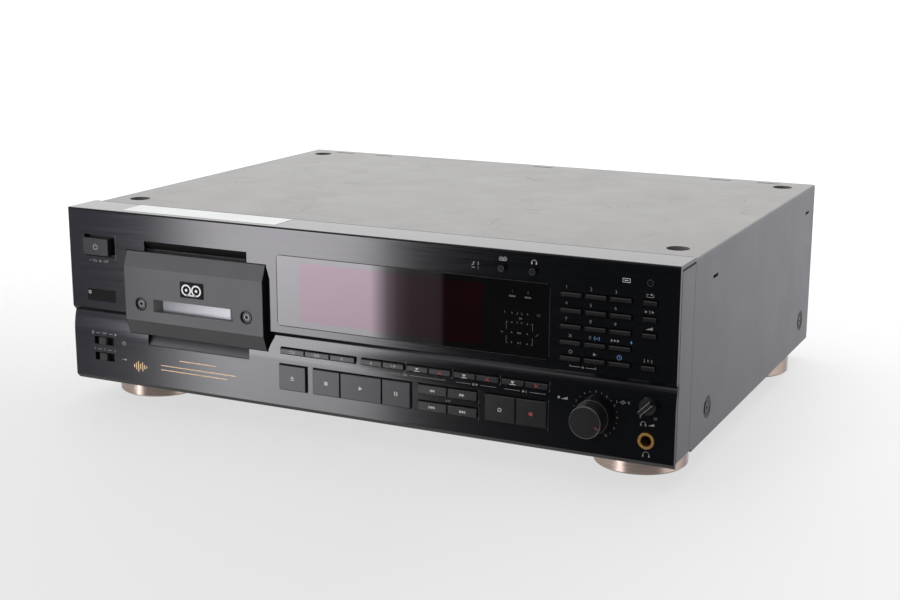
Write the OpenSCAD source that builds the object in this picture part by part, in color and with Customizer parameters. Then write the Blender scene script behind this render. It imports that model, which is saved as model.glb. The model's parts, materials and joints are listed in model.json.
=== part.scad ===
// Front-loading tape deck: extruded front panel, sheet cover, cassette drawer and key banks.
// The origin is on the floor under the middle of the deck, and the front faces -Y.

/* [Case] */
// Width of the front panel and the cover
case_w = 430; // [424:1:450]
// Height of the front panel
panel_h = 120; // [118:1:140]
// Depth from the front plane to the outer face of the rear panel
body_d = 328.5; // [300:0.5:380]
// Height of the front panel's lower edge above the floor
foot_h = 14; // [6:0.5:24]
// Sheet thickness of the cover
cover_t = 1.2; // [0.8:0.1:1.4]
// Sheet thickness of the chassis and the rear panel
plate_t = 1.5; // [1:0.1:2.5]
// Gap between the cover and its neighbours
seam = 0.5; // [0.3:0.05:1]
// How far the cover's roof lies below the top of the front panel
cover_drop = 1.2; // [0.6:0.1:3]
// Outer radius of the cover's two long bends
bend_r = 1.6; // [1.4:0.1:4]
// Height of the cover's lower edge above the front panel's lower edge
cover_z = 1.2; // [0.5:0.1:2]
// Length of the raised stretch at the front of the cover's lower edge
cover_notch_l = 33; // [20:1:60]

/* [Front panel] */
// Wall thickness of the extrusion
panel_t = 3; // [2.5:0.1:4]
// Depth of the flange along the top
flange_d = 28.8; // [20:0.2:40]
// Thickness of the flange along the top
flange_t = 2.4; // [2:0.1:3]
// Depth of the lip along the bottom
lip_d = 12; // [8:0.5:18]
// Thickness of the lip along the bottom
lip_t = 2.5; // [2:0.1:3.5]
// Height of the chamfer along the lower edge
chamfer_h = 3; // [1:0.1:5]
// Depth of the chamfer along the lower edge
chamfer_d = 2.7; // [1:0.1:2.9]
// Chamfer along the upper front edge
edge_c = 0.5; // [0.2:0.1:1]
// Height of the bottom of the long groove
groove_z = 48.5; // [47:0.5:49]
// Depth of the long groove
groove_d = 2.6; // [1:0.1:4]
// Height of the groove's sloping upper side
groove_step = 3; // [2:0.1:4]
// Height of the curved sweep under the groove
sweep_h = 15.5; // [12:0.5:16]

/* [Drawer front] */
// Middle of the drawer from the case's left side
drawer_at = 102.2; // [101:0.2:104]
// Lower edge of the drawer front
drawer_z = 38.1; // [37:0.1:39]
// Width of the drawer front
drawer_w = 108.6; // [104:0.2:112]
// Height of the drawer front
drawer_h = 56.3; // [54:0.1:58]
// How far the drawer front stands out of the panel
drawer_proud = 4.5; // [3:0.1:7]
// How far the upper and lower edges stand out of the panel
drawer_edge_proud = 0.4; // [0:0.1:1]
// Height of the upper bevel
bevel_top = 10; // [6:0.2:14]
// Height of the lower bevel
bevel_bottom = 10.2; // [6:0.2:14]
// Gap round the drawer front
drawer_gap = 0.6; // [0.4:0.1:1]
// How far the drawer slides out
drawer_travel = 75; // [60:1:78]
// Width of the channel above and below the drawer
channel_w = 80.4; // [70:0.2:90]
// Reach of the channel above the drawer front
channel_over = 7.4; // [4:0.2:9]
// Reach of the channel below the drawer front
channel_under = 7.6; // [4:0.2:9]
// Middle height of the drawer's window
window_z = 59.7; // [58:0.1:61]
// Width of the window recess at the drawer's face
window_w = 62.8; // [56:0.2:66]
// Height of the window recess
window_h = 8.5; // [6:0.1:10]
// Length of the sloping end of the window recess
window_slope = 4.6; // [2:0.1:6]
// Depth of the window pane behind the drawer's face
window_sink = 4.4; // [3:0.1:4.8]
// Distance between the drawer's two bolts
bolt_pitch = 83; // [80:0.5:86]
// Radius of the bolts' counterbores
bolt_sink_r = 4.4; // [3.8:0.1:5]
// Radius of the bolts' heads
bolt_head_r = 3.4; // [2.6:0.1:3.6]
// Radius of the bolts' shanks
bolt_r = 1.5; // [1:0.1:2]

/* [Cassette tray] */
// Width of the cassette
cassette_w = 73; // [70:0.5:76]
// Depth of the cassette
cassette_d = 54; // [50:0.5:58]
// Thickness of the cassette
cassette_t = 10.5; // [9:0.1:12]
// Gap round the cassette in its well
cassette_gap = 1.2; // [0.6:0.1:2]
// Thickness of the tray's floor and end walls
tray_t = 2; // [1.5:0.1:3]
// Width of the tray's side arms
arm_w = 8.4; // [7.6:0.1:10]
// Length of the tray's side arms that stays between the rails
arm_hold = 75; // [72:1:82]
// Height of the tray's side arms
arm_h = 16.5; // [15:0.5:18]
// Gap between the tray and its rails
slide_gap = 0.3; // [0.15:0.05:0.5]
// Tooth module of the rack and the loading gear
tooth_m = 1; // [0.8:0.05:1.2]
// Teeth on the loading gear
gear_teeth = 16; // [14:1:18]
// Height of the rack and thickness of the loading gear
gear_t = 6; // [4:0.5:8]
// Play between the teeth of the rack and the gear
backlash = 0.35; // [0.2:0.05:0.5]
// Distance of the loading gear behind the front plane
gear_y = 70; // [66:0.5:74]
// Radius of the head drum
drum_r = 15; // [12:0.5:18]
// Height of each half of the head drum
drum_h = 10; // [8:0.5:12]
// Tilt of the head drum
drum_tilt = 6.4; // [0:0.2:10]

/* [Display] */
// Left edge of the display window from the drawer's right side
display_at = 8; // [7:0.5:9.5]
// Lower edge of the display window above the groove
display_up = 4.5; // [3.5:0.5:5.5]
// Width of the display window
display_span = 187.5; // [180:0.5:188]
// Height of the display window
display_tall = 46.4; // [42:0.2:47]
// Corner radius of the display window
display_r = 3; // [1:0.2:6]
// Left edge of the indicator tube from the drawer's right side
tube_at = 25.5; // [23:0.5:28]
// Width of the indicator tube
tube_span = 127.5; // [120:0.5:130]
// Height of the indicator tube
tube_tall = 38; // [34:0.5:40]

/* [Keys] */
// Gap round each key in its opening
key_gap = 0.25; // [0.2:0.05:0.35]
// How far an opening reaches past its keys
key_well = 0.35; // [0.2:0.05:0.45]
// How far the keys stand out of the panel
key_proud = 1.9; // [1:0.1:2.4]
// Bevel along the keys' front edges
key_bevel = 0.4; // [0.2:0.05:0.5]
// Travel of the keys
key_travel = 0.8; // [0.4:0.1:1.2]
// How far the keys' flanges reach behind the panel
key_lip = 0.8; // [0.5:0.1:1]
// Left edge of the transport keys from the drawer's right side
bank_at = 9.1; // [8:0.1:9.5]
// Lower edge of the transport keys
bank_z = 13.9; // [13.4:0.1:14.2]
// Width of a transport key
bank_key_span = 20.3; // [19:0.1:20.6]
// Width of the play key
play_span = 29.8; // [26:0.2:31]
// Gap between the groups of transport keys
bank_gap = 4.7; // [4:0.1:5]
// Height of the transport keys
bank_h = 17; // [15:0.2:17.4]
// Height of the search keys
search_h = 6.4; // [5:0.1:7]
// Lower edge of the slim keys
slim_z = 37.7; // [36.6:0.1:38]
// Height of the slim keys
slim_h = 4.1; // [3:0.1:4.6]
// Left edge of the counter keys from the drawer's right side
counter_at = 10; // [8.5:0.1:10.5]
// Width of a counter key
counter_span = 18.35; // [17:0.05:18.8]
// Left edge of the mark keys from the drawer's right side
mark_at = 69.1; // [68:0.1:69.5]
// Width of a mark key
mark_span = 15.3; // [14:0.1:15.4]
// Gap between the pairs of mark keys
mark_gap = 1.4; // [1:0.1:2]
// Left edge of the number keys from the drawer's right side
pad_at = 202.3; // [201.5:0.1:202.5]
// Lower edge of the top row of number keys above the groove
pad_up = 44.3; // [43.5:0.1:44.5]
// Width of a number key
pad_key_span = 13.1; // [12:0.1:13.6]
// Height of a number key
pad_key_h = 3.1; // [2.6:0.1:4]
// Distance between the columns of number keys
pad_pitch_span = 15.15; // [14.6:0.05:15.4]
// Distance between the rows of number keys
pad_pitch_tall = 9.55; // [8.5:0.05:9.7]
// Left edge of the mode keys from the drawer's right side
mode_at = 252.2; // [251.3:0.1:253]
// Width of a mode key
mode_span = 8.5; // [7:0.1:9]
// Height of the middle of the round buttons above the groove
button_up = 57.4; // [57:0.1:58]
// Radius of the round buttons
button_r = 2.1; // [1.6:0.1:2.4]
// How far the two recording buttons stand out
button_proud = 3; // [1:0.1:4]
// Middle of the recording mode button from the drawer's right side
record_mode_at = 165.1; // [164:0.1:166]
// Middle of the recording monitor button from the drawer's right side
record_monitor_at = 184.9; // [184:0.1:186]
// Middle of the display mode button from the drawer's right side
display_mode_at = 256; // [255:0.1:257]
// Thickness of the control boards
board_t = 1.6; // [1:0.1:2]
// Distance of the control boards behind the front plane
board_y = 16; // [15:0.5:19]
// Height of the switch plungers on the boards
plunger_h = 2.5; // [1.5:0.1:3]
// Radius of the switch plungers on the boards
plunger_r = 1.2; // [0.8:0.1:1.4]

/* [Left controls] */
// Middle of the power button and the slide switches from the case's left side
left_at = 24.8; // [24:0.1:26]
// Middle height of the power button above the groove
power_up = 43.7; // [43:0.1:44.5]
// Width of the power button
power_w = 21; // [18:0.2:22]
// Height of the power button
power_h = 11.8; // [10:0.1:12.4]
// Dark gap round the power button
power_gap = 1.6; // [0.5:0.1:2]
// How far the power button stands out
power_proud = 4.2; // [2:0.1:8]
// Travel of the power button
power_travel = 2.5; // [1:0.1:3]
// Middle height of the remote control's window above the groove
remote_up = 9.5; // [8:0.1:12]
// Width of the remote control's window
remote_w = 23.3; // [20:0.1:24]
// Height of the remote control's window
remote_h = 8; // [6:0.1:9]
// Middle height of the timer switch
timer_z = 29.1; // [28.8:0.1:30]
// Middle height of the input switch
input_z = 17.9; // [17:0.1:18.4]
// Width of a slide switch's slot
slot_w = 16; // [14:0.2:17]
// Height of a slide switch's slot
slot_h = 5.5; // [4.5:0.1:6]
// Width of a slide switch's grip
grip_w = 6.3; // [5:0.1:7]
// How far the grips stand out
grip_proud = 1.6; // [0.5:0.1:3]
// Travel of a slide switch to each side
slide_throw = 4.2; // [3:0.1:4.4]

/* [Knobs and jack] */
// Middle of the level knob from the drawer's right side
knob_at = 224.8; // [224:0.1:226]
// Middle height of the level knob
knob_z = 27; // [26:0.1:28]
// Radius of the level knob
knob_r = 9.9; // [8:0.1:10.4]
// How far the level knob stands out
knob_proud = 17.5; // [14:0.5:22]
// Radius of the level ring
ring_r = 10.5; // [9:0.1:11]
// How far the level ring stands out
ring_proud = 6.5; // [4:0.1:8]
// Radius of the round seat under the level ring
seat_r = 12; // [11.2:0.1:13]
// Depth of the round seat under the level ring
seat_d = 0.8; // [0.4:0.1:1.2]
// Radius of the knobs' shafts
shaft_r = 3; // [2.5:0.1:3]
// Radius of the level ring's sleeve
sleeve_r = 4.5; // [4:0.1:5]
// Running clearance of a shaft in its hole
run_gap = 0.05; // [0.02:0.01:0.1]
// Middle of the headphone level knob from the drawer's right side
phones_at = 257.7; // [256:0.1:258]
// Middle height of the headphone level knob
phones_z = 37.2; // [36:0.1:38]
// Radius of the headphone level knob
phones_r = 5.1; // [4:0.1:5.6]
// How far the headphone level knob stands out
phones_proud = 6; // [5:0.1:8]
// Middle of the headphone jack from the drawer's right side
jack_at = 256.6; // [255.5:0.1:257.5]
// Middle height of the headphone jack
jack_z = 15.8; // [15.2:0.1:16.6]
// Radius of the jack's ring
jack_ring_r = 5.1; // [4.6:0.1:5.6]
// Radius of the jack's bore
jack_r = 3.25; // [3:0.05:3.4]
// Depth of the jack's bore
jack_depth = 30; // [26:0.5:34]

/* [Feet and case screws] */
// Radius of a foot
foot_r = 29; // [20:0.5:30]
// Distance of a front foot's middle from the case's side
foot_inset_x = 36; // [32:0.5:50]
// Distance of a rear foot's middle from the case's side
foot_rear_x = 31.5; // [31.5:0.5:50]
// Distance of a foot's middle from the case's front and rear
foot_inset_y = 48.5; // [42:0.5:60]
// Radius of the screw wells in the cover's roof
well_r = 7; // [6:0.1:8]
// Depth of the screw wells
well_d = 4; // [3:0.1:6]
// Distance of the screw wells from the case's side
well_inset_x = 19; // [15:0.5:25]
// Distance of the front screw wells behind the front plane
well_front_y = 54; // [50:0.5:70]
// Distance of the rear screw wells from the rear
well_rear_y = 22.5; // [16:0.5:28]
// Radius of the dished screw seats in the cover's sides
dish_r = 7.7; // [7:0.1:9]
// Depth of the dished screw seats
dish_d = 2.4; // [2:0.1:3]
// Middle height of the dished screw seats
dish_z = 20; // [18:0.5:24]
// Distance of the front dished seats behind the front plane
dish_front_y = 64; // [55:0.5:75]
// Distance of the rear dished seats from the rear
dish_rear_y = 25.5; // [20:0.5:32]
// Radius of a case screw's head
screw_head_r = 3.4; // [2.8:0.1:3.6]
// Height of a case screw's head
screw_head_h = 2; // [1.5:0.1:2.5]
// Radius of a case screw's shank
screw_r = 1.9; // [1.5:0.1:2]

/* [Rear] */
// How far the phono sockets stand out of the rear panel
socket_proud = 8.5; // [7:0.5:12]
// Outer radius of a phono socket's barrel
socket_r = 4.15; // [4:0.05:4.2]
// Distance between phono sockets
socket_pitch = 14; // [13:0.5:16]
// Middle of the analogue sockets from the case's +x side
analogue_at = 95; // [85:1:105]
// Middle of the digital sockets from the case's +x side
digital_at = 175; // [165:1:185]
// Middle of the mains inlet from the case's -x side
inlet_at = 45; // [40:1:55]
// Height of the sockets above the front panel's lower edge
socket_z = 70; // [60:1:80]

/* [Hidden] */
$fn = 48;
eps = 1;
arc_steps = 12;
front_y = knob_proud - (knob_proud + body_d + socket_proud) / 2;
half_w = case_w / 2;
sweep_z = groove_z - sweep_h;
sweep_r = (sweep_h * sweep_h + groove_d * groove_d) / (2 * groove_d);
step_z = groove_z + groove_step;

// Places across the panel: the left controls and the drawer keep to the case's left side, and the
// rest shares the room that is left beside the drawer
drawer_x = drawer_at - half_w;
left_x = left_at - half_w;
side_x = drawer_x + drawer_w / 2;
side_room = 273.5;
squeeze = (half_w - side_x) / side_room;
function place(at) = side_x + at * squeeze;
display_x = place(display_at);
display_w = display_span * squeeze;
tube_x = place(tube_at);
tube_w = tube_span * squeeze;
bank_x = place(bank_at);
bank_key_w = bank_key_span * squeeze;
play_w = play_span * squeeze;
counter_x = place(counter_at);
counter_w = counter_span * squeeze;
mark_x = place(mark_at);
mark_w = mark_span * squeeze;
pad_x = place(pad_at);
pad_key_w = pad_key_span * squeeze;
pad_pitch_x = pad_pitch_span * squeeze;
mode_x = place(mode_at);
mode_w = mode_span * squeeze;
record_mode_x = place(record_mode_at);
record_monitor_x = place(record_monitor_at);
display_mode_x = place(display_mode_at);
knob_x = place(knob_at);
phones_x = place(phones_at);
jack_x = place(jack_at);
analogue_x = half_w - analogue_at;
digital_x = half_w - digital_at;
inlet_x = inlet_at - half_w;

// Heights above the groove share the room that the panel leaves there
upper_room = 68.5;
rise = (panel_h - step_z) / upper_room;
function lift(up) = step_z + up * rise;
display_z = lift(display_up);
display_h = display_tall * rise;
tube_h = tube_tall * rise;
pad_top_z = lift(pad_up);
pad_pitch_z = pad_pitch_tall * rise;
button_z = lift(button_up);
power_z = lift(power_up);
remote_z = lift(remote_up);

// The case
cover_top = panel_h - cover_drop;
chassis_z = lip_t + plate_t;
rear_y = body_d - plate_t;
inner_w = case_w - 2 * cover_t - 2 * seam;
// The panel's back at its deepest, behind the groove
deep_back = panel_t + groove_d;

// Recession of the front surface at a height
function sweep_y(z) = z <= sweep_z || z >= step_z ? 0
    : z <= groove_z ? sweep_r - sqrt(sweep_r * sweep_r - (z - sweep_z) * (z - sweep_z))
    : groove_d * (step_z - z) / groove_step;
sweep_path = [for (i = [0 : arc_steps])
    let (z = sweep_z + sweep_h * i / arc_steps) [sweep_y(z), z]];

// Key cells as [x, z, width, height]
bank_xs = [bank_x, bank_x + bank_key_w + bank_gap];
search_x = bank_xs[1] + 2 * bank_key_w + play_w + bank_gap;
record_x = search_x + 2 * bank_key_w + bank_gap;
search_zs = [bank_z, bank_z + bank_h - search_h];
open_cell = [bank_x, bank_z, bank_key_w, bank_h];
stop_cell = [bank_xs[1], bank_z, bank_key_w, bank_h];
play_cell = [bank_xs[1] + bank_key_w, bank_z, play_w, bank_h];
pause_cell = [bank_xs[1] + bank_key_w + play_w, bank_z, bank_key_w, bank_h];
function search_cell(col, row) = [search_x + col * bank_key_w, search_zs[row], bank_key_w, search_h];
function record_cell(col) = [record_x + col * bank_key_w, bank_z, bank_key_w, bank_h];
function counter_cell(i) = [counter_x + i * counter_w, slim_z, counter_w, slim_h];
function mark_cell(i) = [mark_x + i * mark_w + floor(i / 2) * mark_gap, slim_z, mark_w, slim_h];
pad_cols = 3;
pad_rows = 5;
function pad_z(row) = pad_top_z - row * pad_pitch_z;
function pad_cell(col, row) = [pad_x + col * pad_pitch_x, pad_z(row), pad_key_w, pad_key_h];
mode_rows = [0, 1, 2, 4];
function mode_cell(row) = [mode_x, pad_z(row), mode_w, pad_key_h];
function join_cells(a, b) = [a[0], a[1], b[0] + b[2] - a[0], a[3]];
key_cells = [
    open_cell, stop_cell, play_cell, pause_cell,
    for (col = [0, 1], row = [0, 1]) search_cell(col, row),
    for (col = [0, 1]) record_cell(col),
    for (i = [0 : 2]) counter_cell(i),
    for (i = [0 : 7]) mark_cell(i)
];
pad_cells = [
    for (col = [0 : pad_cols - 1], row = [0 : pad_rows - 1]) pad_cell(col, row),
    for (row = mode_rows) mode_cell(row)
];
panel_cells = [
    open_cell,
    join_cells(stop_cell, pause_cell),
    for (row = [0, 1]) join_cells(search_cell(0, row), search_cell(1, row)),
    join_cells(record_cell(0), record_cell(1)),
    join_cells(counter_cell(0), counter_cell(2)),
    for (i = [0 : 2 : 6]) join_cells(mark_cell(i), mark_cell(i + 1)),
    for (cell = pad_cells) cell
];
button_xs = [record_mode_x, record_monitor_x, display_mode_x];
slide_zs = [timer_z, input_z];
key_flange_t = 1.2;
stem_w = 4;
stem_h = 2.4;
stem_end = board_y - plunger_h - key_travel - key_gap;

// Drawer and tray
drawer_top = drawer_z + drawer_h;
head_room = 23.2;
head = (panel_h - flange_t - drawer_top) / head_room;
drawer_back = deep_back - drawer_gap + key_gap;
bezel_t = 2;
bezel_front = deep_back + key_gap;
bezel_lip = 5;
pane_w = window_w - 2 * window_slope;
pane_flange = 2.5;
pane_front = window_sink - drawer_proud;
pane_t = 2.4;
well_w = cassette_w + 2 * cassette_gap;
tray_w = well_w + 2 * arm_w;
arm_l = drawer_travel + arm_hold;
tray_front = drawer_back;
tray_well_y = tray_front + 1.5 * tray_t;
tray_well_end = tray_well_y + cassette_d + 2 * cassette_gap;
tray_z = window_z - cassette_t / 2 - cassette_gap / 2 - tray_t;
rail_w = 4;
rail_lip = 3;
rail_over = 4;
rail_h = 5;
rail_end = tray_front + arm_l + rail_over;
mech_t = 2;
mech_z = tray_z - slide_gap - mech_t - rail_h;
gear_pitch_r = tooth_m * gear_teeth / 2;
tooth_pitch = PI * tooth_m;
addendum = 0.8;
dedendum = 1.1;
pressure_angle = 20;
tooth_add = addendum * tooth_m;
tooth_ded = dedendum * tooth_m;
tooth_half = tooth_pitch / 4 - backlash / 2;
flank = tan(pressure_angle);
rack_x = drawer_x - tray_w / 2 - tooth_ded;
gear_x = rack_x - gear_pitch_r;
gear_z = tray_z + (arm_h - gear_t) / 2;
pin_r = 2;
drum_gap = 14;
drum_y = tray_well_end + drum_r + drum_gap;
leg_r = 4;

// Switches, knobs and sockets
slider_lip = 1.5;
slider_w = slot_w + 2 * slide_throw + slider_lip;
slider_h = slot_h + 2 * slider_lip;
slider_t = 1.2;
slider_y = panel_t + key_gap;
switch_d = 5;
switch_y = board_y - switch_d;
pot_r = 11;
pot_y = 7;
phones_pot_r = 6.5;
knob_gap = 0.5;
ring_back = seat_d - knob_gap;
foot_top = lip_t + foot_h;
inlet_w = 27;
inlet_h = 17;
inlet_hole = [21, 10];
inlet_depth = 13;
optical = [10, 10.5];
transformer_l = 70;
transformer_d = 62;
transformer_h = 58;
transformer_gap = 19;
transformer_y = rail_end + transformer_gap;
main_board_y = 44;
main_board_rise = 8;
main_board_z = chassis_z + main_board_rise;

// Places along the cover
well_ys = [well_front_y, body_d - well_rear_y];
dish_ys = [dish_front_y, body_d - dish_rear_y];
side_slot = [10, 2];
side_slot_front = 70.5;
side_slot_rear = 21;
side_slot_drop = 20;
side_slot_ys = [side_slot_front, body_d - side_slot_rear];
side_slot_z = panel_h - side_slot_drop;
rear_slot = [16.8, 2.2];
rear_slot_inset_x = 33;
rear_slot_step = 37;
rear_slot_far = half_w - rear_slot_inset_x;
rear_slot_near = rear_slot_far - rear_slot_step;
rear_slot_xs = [-rear_slot_far, -rear_slot_near, 0, rear_slot_near, rear_slot_far];
rear_slot_inset = 8;

// Chassis, feet and screws
chassis_flange_h = 34;
post_w = 12;
post_h = cover_top - well_d - cover_t - lip_t;
screw_l = 8;
cross_l = 4;
cross_w = 0.9;
cross_d = 1.2;
foot_seat = foot_top + 2 * plate_t - screw_l;
foot_sink_r = 5;
foot_edge = 1;
foot_rim = 6;

// Windows, boards and switches
pane_fit = 0.15;
pane_lip = 2;
pane_lip_t = 1.5;
post_r = 2;
tube_board_y = board_y;
tube_gap = 1.5;
lamp_at = 171.1;
lamp_step = 10.1;
lamp_up = 12.8;
lamp_pitch = 6.03;
lamp_rows = 4;
lamp_bar_up = 41;
lamp_xs = [place(lamp_at), place(lamp_at + lamp_step)];
lamp_zs = [lift(lamp_bar_up), for (i = [0 : lamp_rows - 1]) lift(lamp_up + i * lamp_pitch)];
board_edge = 3;
board_gap = 2;
board_low = chassis_z + board_gap;
board_split_at = 208.5;
board_right_at = 264.5;
board_split = place(board_split_at);
board_right = place(board_right_at);
board_step_z = groove_z + edge_c;
board_over = 4.6;
board_top = button_z + board_over;
switch_board_w = 30;
power_switch = [14, 22, 12];
sensor = [12, 8, 8];
slider_reach = 2.5;

// Knobs and jack
bush_t = 2;
function bush_y(z) = panel_t + sweep_y(z + bush_t);
shaft_short = 2;
sleeve_end = board_y - 2 * shaft_short;
shaft_end = board_y - shaft_short;
knob_edge = 0.8;
pointer_w = 3;
pointer_d = 2;
pointer_over = 1.3;
pointer_turn = 45;
jack_lip = 1;
jack_proud = 1.2;
jack_body = 6.5;

// Drawer details
bolt_sink_d = 3;
bolt_head_h = 2.2;
bolt_l = 11;
reel_pitch = 30;
reel_hole_r = 8;
rack_lead = 2;

// Inside the case
main_board_at = 13.5;
main_board_span = 228;
main_board_x = place(main_board_at);
main_board_w = main_board_span * squeeze;
main_board_gap = 16;
capacitor_count = 4;
capacitor_pitch = 22;
capacitor_r = 8;
capacitor_h = 24;
fin_count = 8;
fin_pitch = 7;
heat_sink_d = 24;
heat_sink_h = 36;
transformer_in = 15;
transformer_x = transformer_in - half_w;
transformer_foot = 6;
coil_proud = 14;
coil_inset = 11;

// Rear sockets
socket_collar = 1.35;
socket_lip = 1.5;
socket_block = 8;
socket_block_d = 12;
phono_pin_r = 1.65;
optical_r = 2.5;
inlet_rim = 3;
inlet_pin_pitch = 8.6;
inlet_pin_r = 1.2;
line_places = [for (i = [-1, 1], j = [-1, 1])
    [analogue_x + i * socket_pitch / 2, socket_z + j * socket_pitch / 2]];
optical_xs = [digital_x - socket_pitch / 2, digital_x + socket_pitch / 2];
vent_count = 8;
vent_pitch = 8;
vent_w = 2.5;
vent_h = 30;
vent_in = 115;
vent_x = vent_in - half_w;
vent_z = 50;

// Shared shapes, in panel coordinates: x from the middle, y behind the front plane, z above the
// panel's lower edge
module in_place() {
    translate([0, front_y, foot_h]) children();
}

module block(x, y, z, w, d, h) {
    translate([x, y, z]) cube([w, d, h]);
}

module slab(y, d) {
    translate([0, y + d, 0]) rotate([90, 0, 0]) linear_extrude(d) children();
}

module profile_x(x, w) {
    translate([x, 0, 0]) rotate([90, 0, 90]) linear_extrude(w) children();
}

module rod_y(x, z, r, y0, y1) {
    translate([x, y1, z]) rotate([90, 0, 0]) cylinder(r = r, h = y1 - y0);
}

module round_rect(x, z, w, h, r) {
    translate([x + r, z]) square([w - 2 * r, h]);
    translate([x, z + r]) square([w, h - 2 * r]);
    for (cx = [x + r, x + w - r], cz = [z + r, z + h - r]) {
        translate([cx, cz]) circle(r);
    }
}

// A cap whose front edges are bevelled on all four sides
module cap(x, y, z, w, d, h, bevel) {
    intersection() {
        profile_x(x, w) polygon([
            [y + d, z], [y + bevel, z], [y, z + bevel],
            [y, z + h - bevel], [y + bevel, z + h], [y + d, z + h]
        ]);
        translate([0, 0, z]) linear_extrude(h) polygon([
            [x, y + d], [x, y + bevel], [x + bevel, y],
            [x + w - bevel, y], [x + w, y + bevel], [x + w, y + d]
        ]);
    }
}

function flange_y(cell) = panel_t + key_gap
    + max(sweep_y(cell[1] - key_lip), sweep_y(cell[1] + cell[3] + key_lip));

module key_cap(cell) {
    front = sweep_y(cell[1] + cell[3] / 2) - key_proud;
    cap(cell[0] + key_gap, front, cell[1] + key_gap,
        cell[2] - 2 * key_gap, flange_y(cell) - front, cell[3] - 2 * key_gap, key_bevel);
}

module key_stem(cell) {
    y = flange_y(cell);
    block(cell[0] + (cell[2] - stem_w) / 2, y, cell[1] + (cell[3] - stem_h) / 2,
        stem_w, stem_end - y, stem_h);
}

// One key: cap, flange behind the panel, and stem towards its switch
module key(cell) {
    key_cap(cell);
    block(cell[0] + key_gap, flange_y(cell), cell[1] - key_lip,
        cell[2] - 2 * key_gap, key_flange_t, cell[3] + 2 * key_lip);
    key_stem(cell);
}

module dark_key(cell) {
    color("dimgray") in_place() key(cell);
}

// Case
module front_panel_profile() {
    polygon([
        [chamfer_d, 0], [0, chamfer_h], for (p = sweep_path) p,
        [0, step_z], [0, panel_h - edge_c], [edge_c, panel_h], [flange_d, panel_h],
        [flange_d, panel_h - flange_t], [panel_t, panel_h - flange_t], [panel_t, step_z],
        for (i = [arc_steps : -1 : 0]) sweep_path[i] + [panel_t, 0],
        [panel_t, lip_t], [lip_d, lip_t], [lip_d, 0]
    ]);
}

module panel_openings() {
    for (cell = panel_cells) {
        translate([cell[0] - key_well, cell[1] - key_well])
            square([cell[2] + 2 * key_well, cell[3] + 2 * key_well]);
    }
    translate([drawer_x - drawer_w / 2 - drawer_gap, drawer_z - drawer_gap])
        square([drawer_w + 2 * drawer_gap, drawer_h + 2 * drawer_gap]);
    translate([drawer_x - channel_w / 2, drawer_z - channel_under])
        square([channel_w, drawer_h + channel_under + channel_over * head]);
    round_rect(display_x, display_z, display_w, display_h, display_r);
    translate([left_x - power_w / 2 - power_gap, power_z - power_h / 2 - power_gap])
        square([power_w + 2 * power_gap, power_h + 2 * power_gap]);
    translate([left_x - remote_w / 2, remote_z - remote_h / 2]) square([remote_w, remote_h]);
    for (z = slide_zs) {
        translate([left_x - slot_w / 2, z - slot_h / 2]) square([slot_w, slot_h]);
    }
}

module front_panel() {
    color([0.07, 0.07, 0.08]) in_place() difference() {
        profile_x(-half_w, case_w) front_panel_profile();
        slab(-eps, deep_back + 2 * eps) panel_openings();
        for (x = button_xs) {
            rod_y(x, button_z, button_r + key_gap, -eps, panel_t + eps);
        }
        rod_y(knob_x, knob_z, seat_r, -eps, seat_d);
        rod_y(knob_x, knob_z, sleeve_r + 2 * key_gap, -eps, panel_t + eps);
        rod_y(phones_x, phones_z, shaft_r + 2 * key_gap, -eps, panel_t + eps);
        rod_y(jack_x, jack_z, jack_ring_r - jack_lip, -eps, panel_t + eps);
        for (x = [-half_w - eps, half_w - cover_t - 2 * seam]) {
            block(x, panel_t + seam, -eps, cover_t + 2 * seam + eps, lip_d, lip_t + 2 * eps);
        }
    }
}

// Frame behind the panel with a sloping scoop above and below the drawer
module drawer_bezel() {
    frame_w = drawer_w + 2 * bezel_lip;
    bottom = drawer_z - channel_under;
    top = drawer_top + channel_over * head;
    back = bezel_front + bezel_t;
    color([0.12, 0.12, 0.13]) in_place() difference() {
        union() {
            block(drawer_x - frame_w / 2, bezel_front, bottom - bezel_lip,
                frame_w, bezel_t, top - bottom + bezel_lip + bezel_lip * head);
            profile_x(drawer_x - channel_w / 2 + key_gap, channel_w - 2 * key_gap) polygon([
                [back, top - key_gap], [edge_c, top - key_gap],
                [bezel_front, drawer_top + 2 * drawer_gap], [back, drawer_top + 2 * drawer_gap]
            ]);
            profile_x(drawer_x - channel_w / 2 + key_gap, channel_w - 2 * key_gap) polygon([
                [back, bottom + key_gap], [edge_c, bottom + key_gap],
                [bezel_front, drawer_z - 2 * drawer_gap], [back, drawer_z - 2 * drawer_gap]
            ]);
        }
        block(drawer_x - tray_w / 2 - 2 * slide_gap - 2 * tooth_m, bezel_front - eps,
            tray_z - 2 * slide_gap, tray_w + 4 * slide_gap + 4 * tooth_m,
            bezel_t + 2 * eps, arm_h + 4 * slide_gap);
    }
}

// Upright outline of the cover's roof and sides, from a lower edge up
module cover_profile(grow, low) {
    half = half_w + grow;
    r = bend_r + grow;
    top = cover_top + grow;
    translate([-half, low]) square([2 * half, top - r - low]);
    translate([-half + r, low]) square([2 * (half - r), top - low]);
    for (side = [-1, 1]) {
        translate([side * (half - r), top - r]) circle(r);
    }
}

module cover_side_profile() {
    top = panel_h - flange_t - seam;
    raised = lip_t + seam;
    shift = [panel_t + seam, 0];
    polygon([
        [panel_t + seam, raised], for (p = sweep_path) p + shift,
        [panel_t + seam, step_z], [panel_t + seam, top], [flange_d + bend_r, top],
        [flange_d + bend_r, raised]
    ]);
}

module dish_shell(grow) {
    cylinder(r1 = dish_r - dish_d + grow, r2 = dish_r + grow, h = dish_d);
}

module at_dishes() {
    for (side = [-1, 1], y = dish_ys) {
        translate([side * half_w, y, dish_z]) rotate([0, side * 90, 0]) children();
    }
}

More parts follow.
